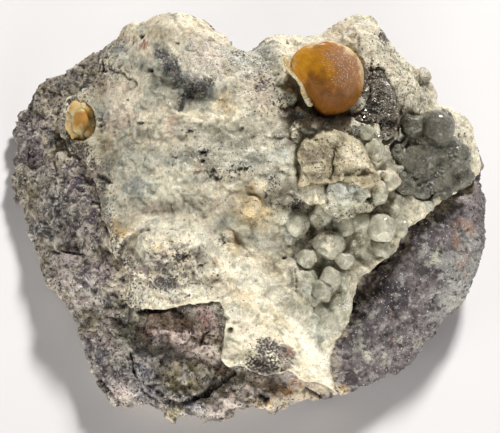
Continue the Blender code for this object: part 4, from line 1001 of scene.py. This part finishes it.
def rock_paint(points, front, notes):
    """Colour of the rock, and how many dark specks and glints it has."""
    scaled = points / MM
    x, y = wobbled_pixels(points)
    even = notes["even"]
    left = 1.0 - even
    tone = rough_noise(scaled, 3.4, 171, 4)
    blotch = rough_noise(scaled, 1.1, 183, 4)
    fine = rough_noise(scaled, 0.5, 191, 2)
    crystals, _, number, _ = cell_noise(warped(scaled, 0.6, 0.25, 195), 1.5, 197)
    pale = (crystals < 0.22 + 0.2 * number) & (number > 0.72)
    seam = np.maximum(near_line(x, y, LEFT_SEAM, 40.0), 0.8 * near_line(x, y, CRUST_RIGHT_SEAM, 12.0))
    seam = seam * eased(blotch + 0.6 * fine, 0.1, -0.3)
    # Painted shadow: a very dark line under the overhang of the ledge
    black_specks_and_ledge_shadow = near_line(x, y, LEDGE_SHADOW_LINE, 8.0) * 0.5
    colours = painted(
        plain(points, ROCK_RIGHT),
        (0.8 * eased(tone, 0.0, 0.7), (64, 55, 60)),
        (left * (1.0 - 0.4 * eased(tone, 0.0, 0.7)), ROCK_LEFT),
        (0.6 * left * eased(-tone, 0.2, 0.9), (150, 142, 118)),
    )
    colours = painted(
        painted_spots(colours, x, y, ROCK_PATCHES, front, 0.6),
        (0.75 * left * eased(blotch, 0.4, 0.65), ROCK_DARK),
        (0.75 * left * eased(-blotch, 0.35, 0.6), ROCK_LIGHT),
        (0.7 * eased(fine, 0.35, 0.6), (50, 43, 46)),
        ((0.7 - 0.3 * even) * eased(-fine, 0.35, 0.6), (196, 188, 180)),
        (0.7 * pale * even, (170, 166, 158)),
        (0.8 * front * seam, (206, 192, 166)),
        # Near-black cracks, with the painted shadow under the ledge and beside the crust's right edge
        (front * np.maximum(notes["cracks_and_shadow_lines"], black_specks_and_ledge_shadow), (28, 23, 23)),
    )
    return colours, {"specks": 0.3 + 0.2 * left, "glints": 0.12 + 0.1 * left}


def add_rock():
    """The speckled rock with its breaks and colours."""
    material = stone_material("speckled_rock", (38, 32, 34), 0.0, 0.75)
    dressed(
        "volcanic_matrix", "rock_surface", material,
        rock_forms, rock_paint, ROCK_TRIANGLES, ROCK_SMOOTHING)


# Balls

# Levels of division of the balls
FINEST_LEVEL = 6
FINE_LEVEL = 5
MIDDLE_LEVEL = 4
BEAD_LEVEL = 3


def unit_ball(level):
    """Points and triangles of a finely divided ball of radius 1."""
    built = bmesh.new()
    bmesh.ops.create_icosphere(built, subdivisions=level, radius=1.0)
    points = np.array([vertex.co for vertex in built.verts])
    faces = np.array([[vertex.index for vertex in face.verts] for face in built.faces])
    built.free()
    return points / np.linalg.norm(points, axis=1, keepdims=True), faces


def lumpy_balls(shapes, level, lumpiness, seed):
    """Points and triangles of slightly uneven balls; each shape is a scene centre and a radius in mm."""
    unit, faces = unit_ball(level)
    balls = []
    for index, (centre, radius) in enumerate(shapes):
        uneven = 1.0 + lumpiness * rough_noise(unit, 0.9, seed + 5 * index, 2)
        balls.append((centre + unit * (radius * MM * uneven)[:, None], faces))
    return joined(balls)


# Large ball: centre on the face and radius in millimetres, and the dent and the bulge of its left side,
# each with the way to it and its depth as a share of the radius
BALL_CENTRE = (10.7, 19.3, -2.3)
BALL_RADIUS = 5.3
BALL_DENT_WAY = (-0.86, -0.48, 0.17)
BALL_DENT = 0.32
BALL_BULGE_WAY = (-0.88, 0.46, 0.1)
BALL_BULGE = 0.1
BALL_AMBER = (150, 94, 12)
# Where white glints crowd on the large ball: a painted highlight on its right and along its top, over its
# frosted skin
BALL_HIGHLIGHT_GLINTS = [(341, 70, 16, 20, 0.9, 12), (330, 42, 26, 6, 0.5)]
BALL_PATCHES = [
    ((196, 138, 24), [(300, 58, 16, 16, 0.9), (318, 66, 12, 16, 0.5)]),
    ((98, 58, 6), [(330, 104, 30, 14, 0.95), (314, 92, 14, 16, 0.8), (350, 98, 12, 12, 0.6)]),
    ((146, 106, 74), [(345, 70, 14, 20, 0.9, 12), (349, 88, 9, 10, 0.7)]),
    # Pale rim along the ball's top and right: a frosted edge, with painted sheen along the outline
    ((206, 184, 146), [
        (352, 48, 10, 8, 0.9), (328, 41, 26, 4, 0.95), (302, 44, 12, 4, 0.8), (362, 66, 4, 20, 0.7),
    ]),
    ((196, 164, 108), [(289, 68, 4, 18, 0.8), (300, 88, 5, 8, 0.7)]),
]


def ball_material():
    """Translucent amber with a frosted, sparkling skin."""
    nodes = Nodes("amber_ball")
    tone = nodes.spread(nodes.noise(0.9, 4.0, 0.6), 0.3, 0.7, 0.82, 1.16)
    toned = nodes.scaled(nodes.attribute("paint", "Color"), tone)
    glints = nodes.spread(nodes.noise(0.2, 2.0, 0.7), 0.58, 0.74)
    # White glints painted into the colour, crowding where the frost share is high: painted highlight on a
    # frosted skin
    glints = nodes.maths("MULTIPLY", glints, nodes.attribute("frost"))
    nodes.set(
        Base_Color=nodes.mix(glints, toned, linear(255, 240, 220)),
        Roughness=nodes.spread(nodes.noise(0.4, 2.0), 0.3, 0.7, 0.42, 0.7),
        Specular_IOR_Level=0.2,
        Subsurface_Weight=0.35,
        Subsurface_Radius=(1.0, 0.5, 0.12),
        Subsurface_Scale=1.2 * MM,
        Normal=nodes.bump(nodes.cells(0.3), 0.06, 0.6, nodes.bump(nodes.noise(0.5, 4.0, 0.65), 0.14, 0.6)),
    )
    return nodes.material


def add_large_ball():
    """The large amber ball, with its dent and its bulge."""
    centre = to_scene([BALL_CENTRE])[0]
    points, faces = lumpy_balls([(centre, BALL_RADIUS)], FINEST_LEVEL, 0.02, 91)
    away = (to_face(points) - np.array(BALL_CENTRE)) / BALL_RADIUS
    dented = BALL_DENT * eased(away.dot(BALL_DENT_WAY), 0.5, 1.0)
    bulged = BALL_BULGE * eased(away.dot(BALL_BULGE_WAY), 0.7, 1.0)
    points = centre + (points - centre) * (1.0 - dented + bulged)[:, None]
    x, y = wobbled_pixels(points)
    points = raised(points, faces, 0.05 * rough_noise(points / MM, 0.7, 93, 3))
    obj = mesh_object("amber_ball", points, faces, ball_material())
    colours = painted_spots(plain(points, BALL_AMBER), x, y, BALL_PATCHES)
    add_paint(obj, colours, frost=0.08 + spots(x, y, BALL_HIGHLIGHT_GLINTS))
    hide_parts("ferrierite_ball")


# Small ball: centre on the face and half sizes in millimetres; its core, and the size, its change and the
# place of the lobes around it, as shares of the half sizes
SMALL_BALL_CENTRE = (-23.7, 13.2, -22.4)
SMALL_BALL_RADII = (1.75, 2.3, 1.7)
SMALL_BALL_CORE = 0.86
SMALL_BALL_LOBES = 9
LOBE_SIZE = 0.46
LOBE_CHANGE = 0.1
LOBE_OUT = 0.78
SMALL_BALL_HONEY = (206, 168, 96)
SMALL_BALL_PATCHES = [
    ((216, 196, 150), [(72, 114, 6, 12, 0.8), (84, 106, 9, 4, 0.8)]),
    ((172, 118, 44), [(82, 118, 9, 7, 0.8), (88, 124, 5, 6, 0.6)]),
    ((186, 170, 132), [(78, 131, 12, 5, 0.8), (97, 118, 5, 14, 0.9)]),
]


def add_small_ball():
    """The small honey ball: a core with lobes around it."""
    unit, unit_faces = unit_ball(MIDDLE_LEVEL)
    lobes = [(unit * SMALL_BALL_CORE, unit_faces)]
    for number in range(SMALL_BALL_LOBES):
        angle = number * 2.0 * math.pi / SMALL_BALL_LOBES
        size = LOBE_SIZE + LOBE_CHANGE * math.sin(2.6 * number)
        way = np.array([math.cos(angle), math.sin(angle), -0.1])
        lobes.append((unit * size + way * LOBE_OUT, unit_faces))
    parts, faces = joined(lobes)
    parts *= 1.0 + 0.09 * rough_noise(parts, 0.5, 95, 4)[:, None]
    points = to_scene(np.array(SMALL_BALL_CENTRE) + parts * np.array(SMALL_BALL_RADII))
    x, y = wobbled_pixels(points)
    obj = mesh_object("honey_ball", points, faces, ball_material())
    add_paint(obj, painted_spots(plain(points, SMALL_BALL_HONEY), x, y, SMALL_BALL_PATCHES), frost=0.3)
    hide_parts("small_ferrierite_ball")


# Glassy botryoids

# Centre on the face and radius in millimetres of the large balls; the first stands out of the mass
CLUSTER = [
    ((26.3, 12.5, -6.7), 2.45), ((28.7, 8.6, -8.6), 2.2), ((29.4, 5.8, -10.0), 1.9),
    ((22.6, 12.8, -7.2), 1.6), ((24.6, 9.2, -7.2), 2.1), ((26.2, 6.0, -8.0), 2.1),
    ((23.1, 7.0, -6.9), 1.9), ((21.6, 4.6, -5.6), 1.7), ((23.9, 3.7, -7.1), 1.8),
    ((20.2, 8.6, -6.0), 1.7), ((26.8, 3.9, -9.0), 1.5),
]

# Triangle size before the mass is built anew, passes of smoothing, the half width of the gaps that are
# filled, the size of the cells that fill them, all in millimetres
CLUSTER_TRIANGLES = (0.28, 1.0)
CLUSTER_SMOOTHING = 30
CLUSTER_REACH = 1.0
CLUSTER_CELL = 0.26

# Small balls on the cluster: how many, their size and the place of their centres, as shares of the radius
# of the larger ball that they stand on
SATELLITES = 12
SATELLITE_SIZES = (0.3, 0.5)
SATELLITE_STAND = 0.8

# Photo pixel and radius in pixels of the botryoids that line the hollows of the crust
CAVITY_BALLS = [
    (297, 224, 10.5), (321, 217, 9), (329, 245, 11.5), (343, 226, 8.5), (344, 260, 6.5), (330, 278, 9),
    (320, 291, 9.5), (380, 226, 11), (382, 248, 9), (361, 223, 8), (400, 226, 8), (366, 133, 7),
    (374, 151, 7.5), (378, 197, 7), (307, 259, 7), (318, 315, 9), (360, 122, 9), (372, 72, 8),
    (423, 76, 6), (328, 322, 8), (312, 300, 7),
]


def glass_material(name, body, film, transmission):
    """Frosted glassy chalcedony with small glints, from screen colours."""
    nodes = Nodes(name)
    frost = nodes.spread(nodes.noise(1.3, 6.0, 0.75), 0.42, 0.62)
    body = linear(*body)
    body_tone = nodes.mix(nodes.spread(nodes.noise(2.0, 4.0), 0.35, 0.65), body, 0.45 * body)
    glints = nodes.spread(nodes.noise(0.26, 3.0, 0.75), 0.63, 0.69)
    nodes.set(
        Base_Color=nodes.mix(glints, nodes.mix(frost, body_tone, linear(*film)), (0.95, 0.96, 0.93)),
        Roughness=nodes.spread(nodes.noise(0.5, 3.0), 0.35, 0.65, 0.1, 0.45),
        Transmission_Weight=transmission,
        IOR=1.54,
        Subsurface_Weight=0.2,
        Subsurface_Radius=(1.0, 1.0, 0.8),
        Subsurface_Scale=1.0 * MM,
        Coat_Weight=0.4,
        Coat_Roughness=0.08,
        Normal=nodes.bump(nodes.noise(0.5, 6.0, 0.8), 0.3, 0.9),
    )
    return nodes.material


def satellites(shapes):
    """Smaller balls that stand on the camera's side of the larger ones."""
    chance = np.random.default_rng(103)
    small = []
    while len(small) < SATELLITES:
        centre, radius = shapes[chance.integers(len(shapes))]
        way = chance.normal(size=3)
        way /= np.linalg.norm(way)
        size = chance.uniform(*SATELLITE_SIZES) * radius
        if way.dot(TO_CAMERA) > -0.1:
            small.append((centre + way * (SATELLITE_STAND * radius) * MM, size))
    return small


def add_cluster():
    """The merged glassy mass, and a few balls that stand out of it."""
    points, faces = welded_arrays("glassy_botryoids")
    points, faces = refined(points, faces, visible_limit(*CLUSTER_TRIANGLES))
    points = relaxed(points, faces, CLUSTER_SMOOTHING)
    points, faces = merged(points, faces, CLUSTER_REACH, CLUSTER_CELL)
    scaled = points / MM
    flat = facets(scaled, 2.4, 99)
    height = 0.3 + 0.4 * rough_noise(scaled, 2.2, 97, 6) + 0.25 * flat
    mass = raised(points, faces, height), faces
    shapes = [(to_scene([centre])[0], radius) for centre, radius in CLUSTER]
    large = lumpy_balls(shapes[:1], FINE_LEVEL, 0.03, 101)
    small = lumpy_balls(satellites(shapes[1:]), BEAD_LEVEL, 0.14, 301)
    material = glass_material("glassy_grey", (100, 98, 80), (138, 134, 114), 0.1)
    obj = mesh_object("cluster_balls", *joined([mass, large, small]), material)
    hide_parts("glassy_botryoids")


def add_cavity_balls():
    """Milky botryoids in the hollows of the crust."""
    points, faces = lumpy_balls(standing_balls(CAVITY_BALLS, 0.95, 1.3), MIDDLE_LEVEL, 0.24, 401)
    material = glass_material("milky_chalcedony", (196, 192, 166), (220, 216, 192), 0.05)
    obj = mesh_object("cavity_balls", points, faces, material)


# Block and druse

BLOCK_TRIANGLES = (0.22, 0.6)
BLOCK_SMOOTHING = 6
BLOCK_RAISED = [(350, 154, 12, 7, 1.0, -45)]
BLOCK_LOWERED = [(362, 172, 16, 7, 1.0)]
BLOCK_CRACK = [([(335, 149), (332, 160), (333, 170), (331, 179)], 0.8, 1.0)]
BLOCK_PATCHES = [
    ((242, 230, 200), [(350, 154, 12, 6, 1.0, -45), (362, 164, 12, 5, 0.8, -40), (312, 168, 12, 5, 0.3)]),
    ((128, 110, 90), [(307, 156, 7, 6, 0.8), (320, 152, 16, 6, 0.6), (336, 148, 8, 5, 0.5)]),
    ((136, 118, 90), [(362, 176, 14, 5, 0.6), (312, 178, 16, 3, 0.7)]),
]


def block_forms(points):
    """Height of the block's fine forms over the CAD surface in millimetres, and what its paint follows."""
    scaled = warped(points / MM, 1.4, 0.4, 110)
    x, y = sharp_pixels(points)
    crack = strokes(x, y, BLOCK_CRACK, 0.5)
    flat = facets(scaled, 2.2, 111)
    height = 0.3 + 0.5 * rough_noise(scaled, 2.2, 114, 6) + 0.3 * flat
    height += 0.5 * spots(x, y, BLOCK_RAISED) - 0.5 * spots(x, y, BLOCK_LOWERED)
    return height - 0.4 * crack, {"crack": crack}


def block_paint(points, front, notes):
    """Colour of the block, and how many dark specks and glints it has."""
    x, y = wobbled_pixels(points)
    tint = rough_noise(points / MM, 1.8, 117, 4)
    colours = painted(
        plain(points, (202, 190, 156)),
        (0.8 * eased(tint, 0.0, 0.8), (140, 128, 98)),
        (0.6 * eased(-tint, 0.2, 0.9), (216, 208, 178)),
    )
    colours = painted_spots(colours, x, y, BLOCK_PATCHES)
    return painted(colours, (0.75 * notes["crack"], (84, 62, 44))), {"specks": 0.45, "glints": 0.15}


def add_block():
    """The tan block with its crack and colours."""
    material = stone_material("tan_calcite", (84, 66, 50), 0.2, 0.45)
    dressed(
        "calcite_block", "tan_block", material,
        block_forms, block_paint, BLOCK_TRIANGLES, BLOCK_SMOOTHING)


def crystal(base, way, radius, length, turn):
    """Points and triangles of a six-sided crystal with a pointed end, set into its base."""
    way = way / np.linalg.norm(way)
    side = np.cross(way, (0.3, 0.8, 0.52))
    side /= np.linalg.norm(side)
    other = np.cross(way, side)
    angles = turn + np.arange(6) * math.pi / 3.0
    ring = radius * (np.cos(angles)[:, None] * side + np.sin(angles)[:, None] * other)
    points = np.vstack([ring, ring + way * length * 0.6, [way * length], [-way * 0.1 * length]]) + base
    faces = []
    for index in range(6):
        after = (index + 1) % 6
        faces += [(index, after, 6 + after), (index, 6 + after, 6 + index)]
        faces += [(6 + index, 6 + after, 12), (after, index, 13)]
    return points, np.array(faces)


def crystals_on(marks, count, size, seed):
    """Small crystals scattered over soft ellipses, standing on what the camera sees there."""
    chance = np.random.default_rng(seed)
    made = []
    shares = np.array([mark[2] * mark[3] * mark[4] for mark in marks])
    for _ in range(count):
        x, y, wide, high, _ = marks[chance.choice(len(marks), p=shares / shares.sum())]
        x, y = (x, y) + chance.normal(0.0, 0.5, 2) * (wide, high)
        hit = seen_at(DRUSE_TREE, *photo_spot(x, y))
        radius = size * chance.uniform(0.5, 1.4)
        way_noise = chance.normal(0.0, 0.45, 3)
        turn = chance.uniform(0.0, 1.0)
        long = chance.uniform(1.0, 2.4)
        if hit is not None:
            made.append(crystal(hit[0], hit[1] + way_noise, radius * MM, radius * long * MM, turn))
    return joined(made)


# Triangle size of the druse, then how many crystals stand there and their mean radius, in millimetres
DRUSE_EDGE = 0.4
DARK_CRYSTALS = 1500
DARK_CRYSTAL_SIZE = 0.19
GREY_CRYSTALS = 1400
GREY_CRYSTAL_SIZE = 0.13

DARK_DRUSE_AREAS = [
    (372, 90, 10, 20, 1.0), (378, 112, 14, 14, 1.0), (350, 118, 9, 8, 0.8), (384, 130, 6, 10, 0.8),
    (365, 78, 6, 10, 0.8), (358, 103, 8, 8, 0.8),
]
GREY_DRUSE_AREAS = [
    (305, 116, 18, 7, 1.0), (325, 120, 14, 7, 1.0), (358, 132, 12, 9, 1.0), (370, 150, 9, 8, 0.8),
    (416, 138, 8, 10, 0.8), (445, 150, 20, 20, 0.3), (430, 180, 14, 16, 0.3), (376, 106, 12, 10, 1.0),
]


def druse_material(name, body, roughness):
    """Small bright crystals of a screen colour."""
    nodes = Nodes(name)
    tone = nodes.spread(nodes.noise(0.6, 4.0, 0.8), 0.35, 0.65)
    glints = nodes.spread(nodes.noise(0.3, 3.0, 0.75), 0.58, 0.62)
    body = linear(*body)
    toned = nodes.mix(tone, body, 0.3 * body)
    nodes.set(
        Base_Color=nodes.mix(glints, toned, (0.85, 0.86, 0.82)),
        Roughness=nodes.spread(nodes.noise(0.5, 2.0), 0.3, 0.7, roughness, roughness + 0.2),
        Transmission_Weight=0.12,
        IOR=1.54,
        Coat_Weight=0.6,
        Coat_Roughness=0.05,
        Normal=nodes.bump(nodes.noise(0.2, 2.0), 0.03, 0.4),
    )
    return nodes.material


def even_limit(middles, lengths):
    """The same edge limit all over the druse."""
    return np.full(len(middles), DRUSE_EDGE * MM)


def add_druse():
    """Dark crystals on the druse of the cavity, and grey ones around it."""
    points, faces = refined(*welded_arrays("cavity_druse"), even_limit)
    bed = raised(points, faces, 0.12 * rough_noise(points / MM, 0.8, 121, 3)), faces
    crystals = crystals_on(DARK_DRUSE_AREAS, DARK_CRYSTALS, DARK_CRYSTAL_SIZE, 123)
    material = druse_material("dark_druse", (150, 138, 120), 0.1)
    obj = mesh_object("dark_crystals", *joined([bed, crystals]), material, False)
    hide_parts("cavity_druse")
    crystals = crystals_on(GREY_DRUSE_AREAS, GREY_CRYSTALS, GREY_CRYSTAL_SIZE, 125)
    material = druse_material("grey_druse", (168, 166, 154), 0.15)
    obj = mesh_object("grey_crystals", *crystals, material, False)


# Studio

# Half size of the floor and the spot that the lamps point at, metres
FLOOR_HALF = 2.5
LAMP_AIM = (0.0, 0.0, 0.015)

LAMP_COLOUR = (1.0, 0.99, 0.975)
WORLD_COLOUR = (0.97, 0.98, 1.0, 1.0)
WORLD_STRENGTH = 0.1

# Name, azimuth and elevation in degrees, distance and size in metres, and power in watts
LAMPS = [
    ("key", 24.0, 38.0, 0.7, 0.1, 6.0),
    ("fill_right", 165.0, 2.5, 0.6, 0.3, 4.7),
    ("fill_left", 232.0, 2.5, 0.6, 0.3, 3.6),
]


def floor_material():
    """Pale paper, a little uneven."""
    nodes = Nodes("pale_paper")
    tone = nodes.spread(nodes.noise(60.0, 3.0), 0.3, 0.7, 0.0, 1.0)
    nodes.set(
        Base_Color=nodes.mix(tone, linear(246, 244, 243), linear(240, 237, 237)),
        Roughness=0.9,
        Normal=nodes.bump(nodes.noise(0.8, 3.0), 0.02, 0.2),
    )
    return nodes.material


def add_floor():
    """The floor that the specimen stands on."""
    mesh = bpy.data.meshes.new("floor")
    corners = [(x * FLOOR_HALF, y * FLOOR_HALF, 0) for x, y in ((-1, -1), (1, -1), (1, 1), (-1, 1))]
    mesh.from_pydata(corners, [], [(0, 1, 2, 3)])
    mesh.materials.append(floor_material())
    floor = placed("floor", mesh)


def add_lamp(name, azimuth, elevation, distance, size, power):
    """Square lamp that points at the specimen; azimuth is measured from straight behind, to the right."""
    data = bpy.data.lights.new(name, "AREA")
    data.size = size
    data.energy = power
    data.color = LAMP_COLOUR
    azimuth = math.radians(azimuth)
    elevation = math.radians(elevation)
    level = math.cos(elevation)
    way = Vector((math.sin(azimuth) * level, math.cos(azimuth) * level, math.sin(elevation)))
    lamp = placed(name, data)
    lamp.location = Vector(LAMP_AIM) + way * distance
    lamp.rotation_euler = way.to_track_quat("Z", "Y").to_euler()


def add_lights():
    """The lamps, a dim world and plain display of colours."""
    for lamp in LAMPS:
        add_lamp(*lamp)
    world = bpy.data.worlds.new("studio")
    world.use_nodes = True
    background = world.node_tree.nodes["Background"]
    background.inputs["Color"].default_value = WORLD_COLOUR
    background.inputs["Strength"].default_value = WORLD_STRENGTH
    bpy.context.scene.world = world
    bpy.context.scene.view_settings.view_transform = "Standard"


def add_camera():
    """Camera where the photograph was taken from."""
    data = bpy.data.cameras.new("camera")
    data.sensor_width = SENSOR_WIDTH
    data.lens = SENSOR_WIDTH * VIEW_DISTANCE / (PHOTO_WIDTH * PIXEL)
    data.clip_start = 0.01
    camera = placed("camera", data)
    camera.location = CAMERA_SPOT
    camera.rotation_euler = (math.pi / 2.0 - FACE_ANGLE, 0.0, 0.0)
    bpy.context.scene.camera = camera


add_camera()
add_lights()
add_floor()
add_rock()
add_crust()
add_knobs()
add_ball_lip()
add_large_ball()
add_small_ball()
add_block()
add_cluster()
add_cavity_balls()
add_druse()
